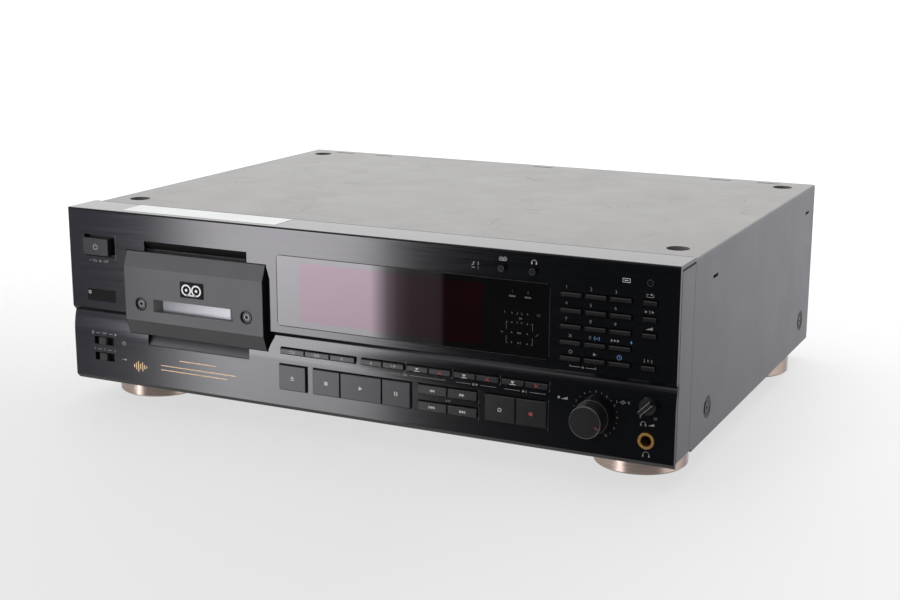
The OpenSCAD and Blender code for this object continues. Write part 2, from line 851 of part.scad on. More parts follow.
module screw_hole(h) {
    cylinder(r = screw_r + key_gap, h = h);
}

module at_wells() {
    for (side = [-1, 1], y = well_ys) {
        translate([side * (half_w - well_inset_x), y, cover_top]) children();
    }
}

module top_cover() {
    roof_y = flange_d + seam;
    color([0.55, 0.54, 0.53]) in_place() difference() {
        union() {
            difference() {
                slab(roof_y, body_d - roof_y) cover_profile(0, cover_z);
                slab(roof_y - eps, body_d - roof_y + 2 * eps) cover_profile(-cover_t, cover_z - eps);
                block(-half_w - eps, roof_y - eps, cover_z - eps, case_w + 2 * eps,
                    cover_notch_l - roof_y + eps, lip_t + seam - cover_z + eps);
            }
            for (x = [-half_w, half_w - cover_t]) {
                profile_x(x, cover_t) cover_side_profile();
            }
            at_wells() translate([0, 0, -well_d - cover_t]) cylinder(r = well_r + cover_t, h = well_d);
            at_dishes() translate([0, 0, -dish_d - cover_t]) dish_shell(cover_t);
        }
        at_wells() translate([0, 0, -well_d]) cylinder(r = well_r, h = well_d + eps);
        at_wells() translate([0, 0, -well_d - 2 * cover_t]) screw_hole(3 * cover_t);
        at_dishes() translate([0, 0, -dish_d]) dish_shell(0);
        at_dishes() translate([0, 0, -dish_d - 2 * cover_t]) screw_hole(3 * cover_t);
        for (x = rear_slot_xs) {
            block(x - rear_slot[0] / 2, body_d - rear_slot_inset - rear_slot[1], cover_top - 2 * cover_t,
                rear_slot[0], rear_slot[1], 3 * cover_t);
        }
        for (y = side_slot_ys, x = [-half_w - eps, half_w - cover_t - eps]) {
            block(x, y - side_slot[0] / 2, side_slot_z, cover_t + 2 * eps, side_slot[0], side_slot[1]);
        }
    }
}

module chassis() {
    side = half_w - cover_t - dish_d - seam;
    color([0.62, 0.63, 0.62]) in_place() difference() {
        union() {
            block(-side, panel_t + seam, lip_t, 2 * side, rear_y - panel_t - seam, plate_t);
            for (x = [-side, side - plate_t]) {
                block(x, lip_d + seam, lip_t, plate_t, rear_y - lip_d - seam, chassis_flange_h);
            }
            at_wells() translate([0, 0, -well_d - cover_t - post_h]) post();
        }
        at_wells() translate([0, 0, -well_d - screw_l - key_gap]) screw_hole(screw_l);
        at_dishes() translate([0, 0, -dish_d - screw_l - key_gap]) screw_hole(screw_l);
        at_feet() translate([0, 0, foot_seat]) screw_hole(screw_l + eps);
    }
}

module post() {
    translate([-post_w / 2, -post_w / 2, 0]) cube([post_w, post_w, post_h]);
}

module rear_panel() {
    color([0.5, 0.5, 0.5]) in_place() difference() {
        block(-inner_w / 2, rear_y, lip_t, inner_w, plate_t, cover_top - cover_t - seam - lip_t);
        for (p = line_places) {
            rod_y(p[0], p[1], socket_r + socket_collar, rear_y - eps, body_d + eps);
        }
        for (x = optical_xs) {
            block(x - optical[0] / 2 - key_gap, rear_y - eps, socket_z - optical[1] / 2 - key_gap,
                optical[0] + 2 * key_gap, plate_t + 2 * eps, optical[1] + 2 * key_gap);
        }
        block(inlet_x - inlet_w / 2, rear_y - eps, socket_z - inlet_h / 2,
            inlet_w, plate_t + 2 * eps, inlet_h);
        for (i = [0 : vent_count - 1]) {
            block(vent_x + i * vent_pitch, rear_y - eps, vent_z, vent_w, plate_t + 2 * eps, vent_h);
        }
    }
}

// Middles of the feet, on the floor
module at_feet() {
    for (side = [-1, 1]) {
        translate([side * (half_w - foot_inset_x), foot_inset_y, -foot_h]) children();
        translate([side * (half_w - foot_rear_x), body_d - foot_inset_y, -foot_h]) children();
    }
}

module feet() {
    hole = screw_r + key_gap;
    color([0.66, 0.56, 0.5]) in_place() at_feet() rotate_extrude() polygon([
        [hole, foot_seat], [foot_sink_r, foot_seat], [foot_sink_r, foot_edge],
        [foot_r - foot_rim, foot_edge], [foot_r - foot_rim, 0],
        [foot_r - foot_edge, 0], [foot_r, foot_edge], [foot_r, foot_top - foot_edge],
        [foot_r - foot_edge, foot_top], [hole, foot_top]
    ]);
}

// Windows and boards behind the panel
module flanged_pane(x, z, w, h, r) {
    slab(0, panel_t) round_rect(x + pane_fit, z + pane_fit, w - 2 * pane_fit, h - 2 * pane_fit, r);
    slab(panel_t, pane_lip_t)
        round_rect(x - pane_lip, z - pane_lip, w + 2 * pane_lip, h + 2 * pane_lip, r);
}

module display_window() {
    color([0.08, 0.03, 0.05]) in_place()
        flanged_pane(display_x, display_z, display_w, display_h, display_r);
}

module remote_window() {
    color([0.1, 0.05, 0.06]) in_place()
        flanged_pane(left_x - remote_w / 2, remote_z - remote_h / 2, remote_w, remote_h, edge_c);
}

module display_module() {
    seat = panel_t + pane_lip_t;
    tube_z = display_z + (display_h - tube_h) / 2;
    color([0.2, 0.35, 0.3]) in_place() {
        block(display_x, tube_board_y, display_z, display_w, board_t, display_h);
        block(tube_x, seat + tube_gap, tube_z, tube_w, tube_board_y - seat - tube_gap, tube_h);
        for (x = [display_x + post_r, display_x + display_w - post_r],
             z = [display_z + post_r, display_z + display_h - post_r]) {
            rod_y(x, z, post_r, seat, tube_board_y);
        }
        for (x = lamp_xs, z = lamp_zs) {
            rod_y(x, z, plunger_r, seat + tube_gap, tube_board_y);
        }
    }
}

module plunger(x, z) {
    rod_y(x, z, plunger_r, board_y - plunger_h, board_y);
}

module standoff(x, z) {
    rod_y(x, z, post_r, panel_t, board_y);
}

// Key board, left switch board and level board, each on its own standoffs or bushes
module key_board() {
    color([0.1, 0.4, 0.25]) in_place() {
        main_key_board();
        switch_board();
        level_board();
    }
}

module main_key_board() {
    left = bank_x - board_edge;
    neck = pad_x - pane_lip;
    shelf = slim_z + slim_h + board_edge;
    strip = button_z - board_edge;
    strip_left = record_mode_x - board_edge;
    slab(board_y, board_t) polygon([
        [left, board_low], [board_split, board_low], [board_split, board_step_z],
        [board_right, board_step_z], [board_right, board_top], [strip_left, board_top],
        [strip_left, strip], [neck, strip], [neck, shelf], [left, shelf]
    ]);
    for (cell = key_cells) {
        plunger(cell[0] + cell[2] / 2, cell[1] + cell[3] / 2);
    }
    for (cell = pad_cells) {
        plunger(cell[0] + cell[2] / 2, cell[1] + cell[3] / 2);
    }
    for (x = button_xs) {
        plunger(x, button_z);
    }
    for (x = [bank_x + board_edge, search_x - bank_gap / 2, record_x + 2 * bank_key_w - board_edge]) {
        standoff(x, bank_z - key_lip - post_r - 2 * key_gap);
    }
    for (z = [pad_z(3), pad_z(1)]) {
        standoff((pad_x + 2 * pad_pitch_x + pad_key_w + mode_x) / 2, z);
    }
}

module switch_board() {
    slab(board_y, board_t) translate([left_x - switch_board_w / 2, board_low])
        square([switch_board_w, board_top - board_low]);
    for (side = [-1, 1], z = [board_low + post_r, (remote_z + power_z) / 2 - 2 * pane_lip]) {
        standoff(left_x + side * (switch_board_w / 2 - post_r), z);
    }
    plunger(left_x, power_z);
    block(left_x - power_switch[0] / 2, board_y + board_t, power_z - power_switch[2] / 2,
        power_switch[0], power_switch[1], power_switch[2]);
    block(left_x - sensor[0] / 2, board_y - sensor[1], remote_z - sensor[2] / 2,
        sensor[0], sensor[1], sensor[2]);
    for (z = slide_zs) {
        difference() {
            block(left_x - slot_w / 2 - edge_c, switch_y, z - slot_h / 2, slot_w + 2 * edge_c,
                board_y - switch_y, slot_h);
            block(left_x - slide_throw - stem_w / 2 - key_gap, switch_y - eps, z - stem_h / 2 - key_gap,
                2 * slide_throw + stem_w + 2 * key_gap, slider_reach + eps + key_gap, stem_h + 2 * key_gap);
        }
    }
}

module level_board() {
    left = board_split + board_edge;
    top = board_step_z - board_edge;
    shelf = phones_z - phones_pot_r;
    step = jack_x - jack_body - board_edge;
    difference() {
        union() {
            slab(board_y, board_t) polygon([
                [left, board_low], [step, board_low], [step, shelf],
                [board_right, shelf], [board_right, top], [left, top]
            ]);
            rod_y(knob_x, knob_z, pot_r, pot_y, board_y);
            rod_y(knob_x, knob_z, sleeve_r + bush_t, bush_y(knob_z + sleeve_r), pot_y);
            rod_y(phones_x, phones_z, phones_pot_r, pot_y, board_y);
            rod_y(phones_x, phones_z, shaft_r + bush_t, bush_y(phones_z + shaft_r), pot_y);
        }
        rod_y(knob_x, knob_z, sleeve_r + run_gap, -eps, sleeve_end + key_gap);
        rod_y(knob_x, knob_z, shaft_r + run_gap, -eps, shaft_end + key_gap);
        rod_y(phones_x, phones_z, shaft_r + run_gap, -eps, shaft_end + key_gap);
    }
}

// Inside the case
module main_board() {
    depth = rear_y - main_board_gap - main_board_y;
    top = main_board_z + board_t;
    color([0.12, 0.42, 0.2]) in_place() {
        block(main_board_x, main_board_y, main_board_z, main_board_w, depth, board_t);
        for (x = [main_board_x + post_w, main_board_x + main_board_w - post_w],
             y = [main_board_y + post_w, main_board_y + depth - post_w]) {
            translate([x, y, chassis_z]) cylinder(r = post_r, h = main_board_z - chassis_z);
        }
        for (i = [0 : capacitor_count - 1]) {
            translate([main_board_x + (i + 1) * capacitor_pitch, main_board_y + capacitor_pitch, top])
                cylinder(r = capacitor_r, h = capacitor_h);
        }
        for (i = [0 : fin_count - 1]) {
            block(main_board_x + post_w + i * fin_pitch, main_board_y + depth / 2, top,
                board_t, heat_sink_d, heat_sink_h);
        }
        block(main_board_x + post_w, main_board_y + depth / 2, top,
            (fin_count - 1) * fin_pitch + board_t, board_t, heat_sink_h);
    }
}

module transformer() {
    core_d = transformer_d - 2 * coil_proud;
    color([0.35, 0.3, 0.28]) in_place() translate([transformer_x, transformer_y, chassis_z]) {
        block(0, coil_proud, 0, transformer_l, core_d, transformer_h);
        block(coil_inset, 0, coil_inset,
            transformer_l - 2 * coil_inset, transformer_d, transformer_h - 2 * coil_inset);
        block(-transformer_foot, coil_proud, 0, transformer_l + 2 * transformer_foot, core_d, plate_t);
    }
}

module at_drum() {
    translate([drawer_x, drum_y, mech_z + mech_t]) rotate([0, drum_tilt, 0]) children();
}

module mechanism_base() {
    front = bezel_front + bezel_t + seam;
    length = rail_end - front;
    left = gear_x - leg_r - mech_t;
    right = drawer_x + tray_w / 2 + slide_gap + rail_w;
    color([0.7, 0.7, 0.68]) in_place() {
        difference() {
            union() {
                block(left, front, mech_z, right - left, length, mech_t);
                at_drum() translate([0, 0, -mech_t / 2]) cylinder(r = drum_r, h = drum_h + mech_t / 2);
            }
            at_drum() translate([0, 0, mech_t]) cylinder(r = pin_r + run_gap, h = drum_h);
        }
        for (side = [-1, 1]) {
            arm = drawer_x + side * (tray_w - arm_w) / 2;
            wall = drawer_x + side * (tray_w / 2 + slide_gap + rail_w / 2);
            block(arm - arm_w / 2, front, mech_z, arm_w, length, tray_z - slide_gap - mech_z);
            block(wall - rail_w / 2, front, mech_z, rail_w, length, tray_z + rail_lip - mech_z);
        }
        translate([gear_x, gear_y, mech_z]) cylinder(r = leg_r, h = gear_z - slide_gap - mech_z);
        translate([gear_x, gear_y, mech_z]) cylinder(r = pin_r, h = gear_z + gear_t - mech_z);
        for (x = [left + leg_r, right - leg_r], y = [front + leg_r, rail_end - leg_r]) {
            translate([x, y, chassis_z]) cylinder(r = leg_r, h = mech_z - chassis_z);
        }
    }
}

module head_drum() {
    color("lightsteelblue") in_place() at_drum() {
        translate([0, 0, drum_h + slide_gap]) cylinder(r = drum_r, h = drum_h);
        translate([0, 0, 2 * mech_t]) cylinder(r = pin_r, h = drum_h);
    }
}

// Outline of one gear tooth, pointing along x
module gear_tooth() {
    root = gear_pitch_r - tooth_ded;
    tip = gear_pitch_r + tooth_add;
    root_half = tooth_half + tooth_ded * flank;
    tip_half = tooth_half - tooth_add * flank;
    polygon([
        [root - tooth_m, -root_half], [root, -root_half], [gear_pitch_r, -tooth_half], [tip, -tip_half],
        [tip, tip_half], [gear_pitch_r, tooth_half], [root, root_half], [root - tooth_m, root_half]
    ]);
}

module loading_gear() {
    color("ivory") in_place() translate([gear_x, gear_y, gear_z]) difference() {
        linear_extrude(gear_t) {
            circle(gear_pitch_r - tooth_ded);
            for (i = [0 : gear_teeth - 1]) {
                rotate(i * 360 / gear_teeth) gear_tooth();
            }
        }
        translate([0, 0, -eps]) cylinder(r = pin_r + run_gap, h = gear_t + 2 * eps);
    }
}

// Drawer
module drawer_front() {
    edge = -drawer_edge_proud;
    pocket = pane_front + pane_t;
    depth = drawer_proud + drawer_back;
    color([0.2, 0.2, 0.21]) in_place() difference() {
        profile_x(drawer_x - drawer_w / 2, drawer_w) polygon([
            [drawer_back, drawer_z], [edge, drawer_z], [-drawer_proud, drawer_z + bevel_bottom],
            [-drawer_proud, drawer_top - bevel_top], [edge, drawer_top], [drawer_back, drawer_top]
        ]);
        translate([drawer_x, 0, window_z - window_h / 2]) linear_extrude(window_h) polygon([
            [-window_w / 2 - window_slope, -drawer_proud - window_sink],
            [window_w / 2 + window_slope, -drawer_proud - window_sink],
            [pane_w / 2, pane_front], [-pane_w / 2, pane_front]
        ]);
        block(drawer_x - pane_w / 2, -drawer_proud, window_z - window_h / 2, pane_w, depth + eps, window_h);
        block(drawer_x - pane_w / 2 - pane_flange, pocket, window_z - window_h / 2 - pane_flange,
            pane_w + 2 * pane_flange, drawer_back, window_h + 2 * pane_flange);
        at_bolts() cylinder(r = bolt_sink_r, h = bolt_sink_d + eps);
        at_bolts() translate([0, 0, -depth]) cylinder(r = bolt_r + key_gap, h = depth + eps);
    }
}

// Seats of the drawer's bolts, with z pointing out of the drawer's face
module at_bolts() {
    for (side = [-1, 1]) {
        translate([drawer_x + side * bolt_pitch / 2, bolt_sink_d - drawer_proud, window_z])
            rotate([90, 0, 0]) children();
    }
}

module drawer_bolts() {
    color("silver") in_place() at_bolts() difference() {
        union() {
            cylinder(r = bolt_head_r, h = bolt_head_h);
            translate([0, 0, -bolt_l]) cylinder(r = bolt_r, h = bolt_l + eps);
        }
        translate([0, 0, bolt_head_h / 2]) cylinder(r = bolt_r, h = bolt_head_h, $fn = 6);
    }
}

module drawer_window() {
    pocket = pane_front + pane_t;
    lip = pane_flange - pane_fit;
    color([0.75, 0.78, 0.8, 0.5]) in_place() {
        block(drawer_x - pane_w / 2 + pane_fit, pane_front, window_z - window_h / 2 + pane_fit,
            pane_w - 2 * pane_fit, pane_t, window_h - 2 * pane_fit);
        block(drawer_x - pane_w / 2 - lip, pocket, window_z - window_h / 2 - lip,
            pane_w + 2 * lip, drawer_back - pocket, window_h + 2 * lip);
    }
}

module cassette_tray() {
    left = drawer_x - tray_w / 2;
    rack_y = gear_y - tooth_pitch / 2 - tooth_pitch * rack_lead;
    teeth = floor((tray_front + arm_l - rack_y) / tooth_pitch);
    color([0.16, 0.16, 0.17]) in_place() difference() {
        union() {
            block(left, tray_front, tray_z, tray_w, tray_well_end + tray_t - tray_front, tray_t);
            block(left, tray_front, tray_z, tray_w, tray_well_y - tray_front, arm_h);
            block(left, tray_well_end, tray_z, tray_w, tray_t, tray_t + cassette_t / 2);
            for (side = [0, 1]) {
                block(left + side * (tray_w - arm_w), tray_front, tray_z, arm_w, arm_l, arm_h);
            }
            translate([left, 0, gear_z]) linear_extrude(gear_t) {
                for (i = [0 : teeth - 1]) {
                    translate([0, rack_y + i * tooth_pitch]) rack_tooth();
                }
            }
        }
        block(drawer_x - pane_w / 2, tray_front - eps, window_z - window_h / 2,
            pane_w, tray_well_y - tray_front + 2 * eps, window_h);
        for (side = [-1, 1]) {
            translate([drawer_x + side * reel_pitch / 2, tray_well_y + cassette_d / 2, tray_z - eps])
                cylinder(r = reel_hole_r, h = tray_t + 2 * eps);
        }
        at_bolts() translate([0, 0, -bolt_l - key_gap])
            cylinder(r = bolt_r + key_gap, h = bolt_l + key_gap);
    }
}

// Outline of one rack tooth, pointing along -x from the arm's side
module rack_tooth() {
    root_half = tooth_half + tooth_ded * flank;
    tip_half = tooth_half - tooth_add * flank;
    tip = -tooth_ded - tooth_add;
    polygon([[0, -root_half], [0, root_half], [tip, tip_half], [tip, -tip_half]]);
}

// Buttons, switches and knobs
module power_button() {
    lip = power_gap + key_lip;
    y = panel_t + key_gap;
    color("dimgray") in_place() {
        cap(left_x - power_w / 2, -power_proud, power_z - power_h / 2,
            power_w, y + power_proud, power_h, key_bevel);
        block(left_x - power_w / 2 - lip, y, power_z - power_h / 2 - lip,
            power_w + 2 * lip, key_flange_t, power_h + 2 * lip);
        rod_y(left_x, power_z, stem_w / 2, y, board_y - plunger_h - power_travel - key_gap);
    }
}

module slide_switch(z) {
    color([0.05, 0.05, 0.05]) in_place() {
        cap(left_x - grip_w / 2, -grip_proud, z - slot_h / 2 + key_gap, grip_w, slider_y + grip_proud,
            slot_h - 2 * key_gap, key_bevel);
        block(left_x - slider_w / 2, slider_y, z - slider_h / 2, slider_w, slider_t, slider_h);
        block(left_x - stem_w / 2, slider_y, z - stem_h / 2,
            stem_w, switch_y + slider_reach - slider_y, stem_h);
    }
}

module timer_switch() {
    slide_switch(timer_z);
}

module input_switch() {
    slide_switch(input_z);
}

module round_button(x, proud) {
    y = panel_t + key_gap;
    color("dimgray") in_place() {
        rod_y(x, button_z, button_r, -proud, y);
        rod_y(x, button_z, button_r + key_lip, y, y + key_flange_t);
        rod_y(x, button_z, plunger_r, y, stem_end);
    }
}

module record_mode_button() {
    round_button(record_mode_x, button_proud);
}

module record_monitor_button() {
    round_button(record_monitor_x, button_proud);
}

module display_mode_button() {
    round_button(display_mode_x, key_gap);
}

module open_close_key() {
    dark_key(open_cell);
}

module stop_key() {
    dark_key(stop_cell);
}

module play_key() {
    dark_key(play_cell);
}

module pause_key() {
    dark_key(pause_cell);
}

module rewind_key() {
    dark_key(search_cell(0, 1));
}

module forward_key() {
    dark_key(search_cell(1, 1));
}

module previous_key() {
    dark_key(search_cell(0, 0));
}

module next_key() {
    dark_key(search_cell(1, 0));
}

module record_mute_key() {
    dark_key(record_cell(0));
}

module record_key() {
    dark_key(record_cell(1));
}

module counter_mode_key() {
    dark_key(counter_cell(0));
}

module counter_reset_key() {
    dark_key(counter_cell(1));
}

module counter_memory_key() {
    dark_key(counter_cell(2));
}

module auto_mark_key() {
    dark_key(mark_cell(0));
}

module renumber_key() {
    dark_key(mark_cell(1));
}

module start_write_key() {
    dark_key(mark_cell(2));
}

module start_erase_key() {
    dark_key(mark_cell(3));
}

module skip_write_key() {
    dark_key(mark_cell(4));
}

module skip_erase_key() {
    dark_key(mark_cell(5));
}

module end_write_key() {
    dark_key(mark_cell(6));
}

module end_erase_key() {
    dark_key(mark_cell(7));
}

// Three number keys moulded on one carrier bar
module keypad_row(row) {
    first = pad_cell(0, row);
    last = pad_cell(pad_cols - 1, row);
    color("dimgray") in_place() {
        for (col = [0 : pad_cols - 1]) {
            key_cap(pad_cell(col, row));
            key_stem(pad_cell(col, row));
        }
        block(first[0] + key_gap, flange_y(first), first[1] - key_lip,
            last[0] + last[2] - first[0] - 2 * key_gap, key_flange_t, pad_key_h + 2 * key_lip);
    }
}

module keypad_row_1() {
    keypad_row(0);
}

module keypad_row_2() {
    keypad_row(1);
}

module keypad_row_3() {
    keypad_row(2);
}

module keypad_row_4() {
    keypad_row(3);
}

module keypad_row_5() {
    keypad_row(4);
}

// Four mode keys moulded on one upright carrier bar
module mode_keys() {
    low = mode_cell(mode_rows[3]);
    high = mode_cell(mode_rows[0]);
    color("dimgray") in_place() {
        for (row = mode_rows) {
            key_cap(mode_cell(row));
            key_stem(mode_cell(row));
        }
        block(mode_x + key_gap, flange_y(low), low[1] - key_lip, mode_w - 2 * key_gap, key_flange_t,
            high[1] + pad_key_h - low[1] + 2 * key_lip);
    }
}

module record_level_knob() {
    back = ring_proud + knob_gap;
    color([0.08, 0.08, 0.09]) in_place() translate([knob_x, 0, knob_z])
        rotate([90, 0, 0]) rotate_extrude() polygon([
            [0, -shaft_end], [shaft_r, -shaft_end], [shaft_r, back], [knob_r, back],
            [knob_r, knob_proud - knob_edge], [knob_r - knob_edge, knob_proud], [0, knob_proud]
        ]);
}

module record_level_ring() {
    color([0.08, 0.08, 0.09]) in_place() difference() {
        union() {
            rod_y(knob_x, knob_z, ring_r, -ring_proud, ring_back);
            rod_y(knob_x, knob_z, sleeve_r, ring_back, sleeve_end);
        }
        rod_y(knob_x, knob_z, shaft_r + run_gap, -ring_proud - eps, sleeve_end + eps);
    }
}

module phones_level_knob() {
    color([0.08, 0.08, 0.09]) in_place() {
        rod_y(phones_x, phones_z, phones_r, -phones_proud + pointer_d, -knob_gap);
        rod_y(phones_x, phones_z, shaft_r, -knob_gap, shaft_end);
        translate([phones_x, 0, phones_z]) rotate([0, pointer_turn, 0])
            block(-pointer_w / 2, -phones_proud, -phones_r - pointer_over,
                pointer_w, phones_proud - knob_gap, 2 * phones_r);
    }
}

// Sockets and screws
module headphone_jack() {
    color("goldenrod") in_place() difference() {
        union() {
            rod_y(jack_x, jack_z, jack_ring_r, -jack_proud, 0);
            rod_y(jack_x, jack_z, jack_ring_r - jack_lip - key_gap, 0, panel_t);
            block(jack_x - jack_body, panel_t, jack_z - jack_body,
                2 * jack_body, jack_depth - jack_proud, 2 * jack_body);
        }
        rod_y(jack_x, jack_z, jack_r, -jack_proud - eps, jack_depth - jack_proud);
    }
}

module phono_barrel(x, z) {
    difference() {
        union() {
            rod_y(x, z, socket_r + socket_collar - key_gap, rear_y, body_d + socket_lip);
            rod_y(x, z, socket_r, rear_y, body_d + socket_proud);
        }
        rod_y(x, z, phono_pin_r, body_d, body_d + socket_proud + eps);
    }
}

module line_sockets() {
    color("gold") in_place() {
        block(analogue_x - socket_pitch / 2 - socket_block, rear_y - socket_block_d,
            socket_z - socket_pitch / 2 - socket_block,
            socket_pitch + 2 * socket_block, socket_block_d, socket_pitch + 2 * socket_block);
        for (p = line_places) {
            phono_barrel(p[0], p[1]);
        }
    }
}

module digital_sockets() {
    color([0.15, 0.15, 0.15]) in_place() {
        block(digital_x - socket_pitch / 2 - socket_block, rear_y - socket_block_d, socket_z - socket_block,
            socket_pitch + 2 * socket_block, socket_block_d, 2 * socket_block);
        for (x = optical_xs) {
            difference() {
                block(x - optical[0] / 2, rear_y, socket_z - optical[1] / 2,
                    optical[0], plate_t + socket_lip, optical[1]);
                rod_y(x, socket_z, optical_r, body_d, body_d + socket_lip + eps);
            }
        }
    }
}

module mains_inlet() {
    end = body_d + socket_lip;
    left = inlet_x - inlet_w / 2;
    low = socket_z - inlet_h / 2;
    color([0.1, 0.1, 0.1]) in_place() {
        difference() {
            union() {
                block(left + key_gap, end - inlet_depth - tray_t, low + key_gap,
                    inlet_w - 2 * key_gap, inlet_depth + tray_t, inlet_h - 2 * key_gap);
                block(left - inlet_rim, body_d, low - inlet_rim,
                    inlet_w + 2 * inlet_rim, socket_lip, inlet_h + 2 * inlet_rim);
            }
            slab(end - inlet_depth, inlet_depth + eps)
                round_rect(inlet_x - inlet_hole[0] / 2, socket_z - inlet_hole[1] / 2,
                    inlet_hole[0], inlet_hole[1], inlet_rim);
        }
        for (side = [-1, 1]) {
            rod_y(inlet_x + side * inlet_pin_pitch / 2, socket_z, inlet_pin_r,
                end - inlet_depth - eps, end - 2 * socket_lip);
        }
    }
}

module case_screw() {
    difference() {
        cylinder(r = screw_head_r, h = screw_head_h);
        for (turn = [0, 90]) {
            rotate([0, 0, turn]) block(-cross_l / 2, -cross_w / 2, screw_head_h - cross_d,
                cross_l, cross_w, cross_d + eps);
        }
    }
    translate([0, 0, -screw_l]) cylinder(r = screw_r, h = screw_l + eps);
}

module case_screws() {
    color([0.3, 0.3, 0.3]) in_place() {
        at_wells() translate([0, 0, -well_d]) case_screw();
        at_dishes() translate([0, 0, -dish_d]) case_screw();
        at_feet() translate([0, 0, foot_seat]) rotate([180, 0, 0]) case_screw();
    }
}

front_panel();
drawer_bezel();
top_cover();
chassis();
rear_panel();
feet();
display_window();
display_module();
remote_window();
key_board();
main_board();
transformer();
mechanism_base();
head_drum();
loading_gear();
line_sockets();
digital_sockets();
mains_inlet();
headphone_jack();
case_screws();
drawer_front();
drawer_window();
drawer_bolts();
cassette_tray();
power_button();
timer_switch();
input_switch();
open_close_key();
stop_key();
play_key();
pause_key();
rewind_key();
forward_key();
previous_key();
next_key();
record_mute_key();
record_key();
counter_mode_key();
counter_reset_key();
counter_memory_key();
auto_mark_key();
renumber_key();
start_write_key();
start_erase_key();
skip_write_key();
skip_erase_key();
end_write_key();
end_erase_key();
record_mode_button();
record_monitor_button();
display_mode_button();
keypad_row_1();
keypad_row_2();
keypad_row_3();
keypad_row_4();
keypad_row_5();
mode_keys();
record_level_knob();
record_level_ring();
phones_level_knob();
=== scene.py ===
import json
import math

import bmesh
import bpy
from mathutils import Euler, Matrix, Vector


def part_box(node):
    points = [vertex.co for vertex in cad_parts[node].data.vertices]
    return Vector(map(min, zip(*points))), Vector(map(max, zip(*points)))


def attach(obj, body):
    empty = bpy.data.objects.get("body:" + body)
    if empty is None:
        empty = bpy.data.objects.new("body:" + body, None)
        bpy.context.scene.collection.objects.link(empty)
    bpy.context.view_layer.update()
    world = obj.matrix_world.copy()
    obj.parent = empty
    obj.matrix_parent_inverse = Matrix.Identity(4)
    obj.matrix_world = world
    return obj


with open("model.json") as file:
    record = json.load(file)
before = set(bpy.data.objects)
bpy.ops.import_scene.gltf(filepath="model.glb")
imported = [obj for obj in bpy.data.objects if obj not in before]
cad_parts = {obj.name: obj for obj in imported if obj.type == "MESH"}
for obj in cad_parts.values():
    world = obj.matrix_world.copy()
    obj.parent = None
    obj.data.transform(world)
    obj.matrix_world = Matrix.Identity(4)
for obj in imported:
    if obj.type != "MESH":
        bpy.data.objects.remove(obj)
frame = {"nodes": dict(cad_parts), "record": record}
scene = bpy.context.scene
nodes = frame["nodes"]
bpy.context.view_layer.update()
print("frame: loaded", len(nodes), "nodes")

# places on the front are millimetres: x from the middle, y behind the panel's face, z above its lower edge
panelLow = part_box("front_panel")[0]
panel = {"frontY": panelLow.y, "lowZ": panelLow.z, "grooveZ": 48.5, "grooveDeep": 2.6, "grooveStep": 3.0,
         "sweepHigh": 15.5}


def panelDepth(z):  # how far the swept face lies behind the front plane
    low, top = panel["grooveZ"] - panel["sweepHigh"], panel["grooveZ"] + panel["grooveStep"]
    if z <= low or z >= top:
        return 0.0
    if z > panel["grooveZ"]:
        return panel["grooveDeep"] * (top - z) / panel["grooveStep"]
    radius = (panel["sweepHigh"] ** 2 + panel["grooveDeep"] ** 2) / (2 * panel["grooveDeep"])
    return radius - math.sqrt(radius ** 2 - (z - low) ** 2)


def onPanel(x, y, z):  # a place on the front, in the frame's metres
    return Vector((x / 1000, panel["frontY"] + y / 1000, panel["lowZ"] + z / 1000))


def metres(size):  # from one length or several in millimetres
    return tuple(part / 1000 for part in size) if isinstance(size, tuple) else size / 1000


def faceDepth(node):  # the front face of a control
    return (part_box(node)[0].y - panel["frontY"]) * 1000


def newObject(name, data):
    made = bpy.data.objects.new(name, data)
    scene.collection.objects.link(made)
    return made


def meshFrom(shape, name):
    mesh = bpy.data.meshes.new(name)
    shape.to_mesh(mesh)
    shape.free()
    return mesh


def takeMesh(holder):  # the mesh that an object comes to, without the object
    bpy.context.view_layer.update()
    mesh = bpy.data.meshes.new_from_object(holder.evaluated_get(bpy.context.evaluated_depsgraph_get()))
    bpy.data.objects.remove(holder)
    return mesh


def addPiece(name, mesh, body, finish=None, thick=0.0):
    if finish is not None:
        mesh.materials.append(finish)
    piece = newObject(name, mesh)
    if thick:
        sheet = piece.modifiers.new("thick", "SOLIDIFY")
        sheet.thickness, sheet.offset = thick, 0.0
    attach(piece, body)
    return piece


# node helpers

def add(tree, kind, inputs=None, **settings):
    node = tree.nodes.new(kind)
    for key, value in settings.items():
        setattr(node, key, value)
    for key, value in (inputs or {}).items():
        if isinstance(value, bpy.types.NodeSocket):
            tree.links.new(value, node.inputs[key])
        else:
            node.inputs[key].default_value = value
    return node


def rgb(*parts):  # one value gives a grey
    return (*(parts * 3 if len(parts) == 1 else parts), 1.0)


def mixColour(tree, factor, a, b, blend="MIX"):
    return add(tree, "ShaderNodeMix", {0: factor, 6: a, 7: b}, data_type="RGBA", blend_type=blend).outputs[2]


def spread(tree, value, low, high, toLow=0.0, toHigh=1.0):
    return add(tree, "ShaderNodeMapRange", {"Value": value, "From Min": low, "From Max": high,
                                            "To Min": toLow, "To Max": toHigh}).outputs[0]


def between(tree, value, low, high, soft):  # 1 inside a span, with soft ends
    rise = spread(tree, value, low - soft, low + soft)
    return times(tree, rise, spread(tree, value, high - soft, high + soft, 1.0, 0.0))


def noise(tree, vector, scale, detail=2.0, rough=0.5):
    return add(tree, "ShaderNodeTexNoise", {"Vector": vector, "Scale": scale, "Detail": detail,
                                            "Roughness": rough}).outputs[0]


def math2(tree, operation, a, b=0.0):
    return add(tree, "ShaderNodeMath", {0: a, 1: b}, operation=operation).outputs[0]


def times(tree, a, b):
    return math2(tree, "MULTIPLY", a, b)


def share(tree, a, b, part):  # a part of one value and the rest of another
    return math2(tree, "ADD", times(tree, a, part), times(tree, b, 1 - part))


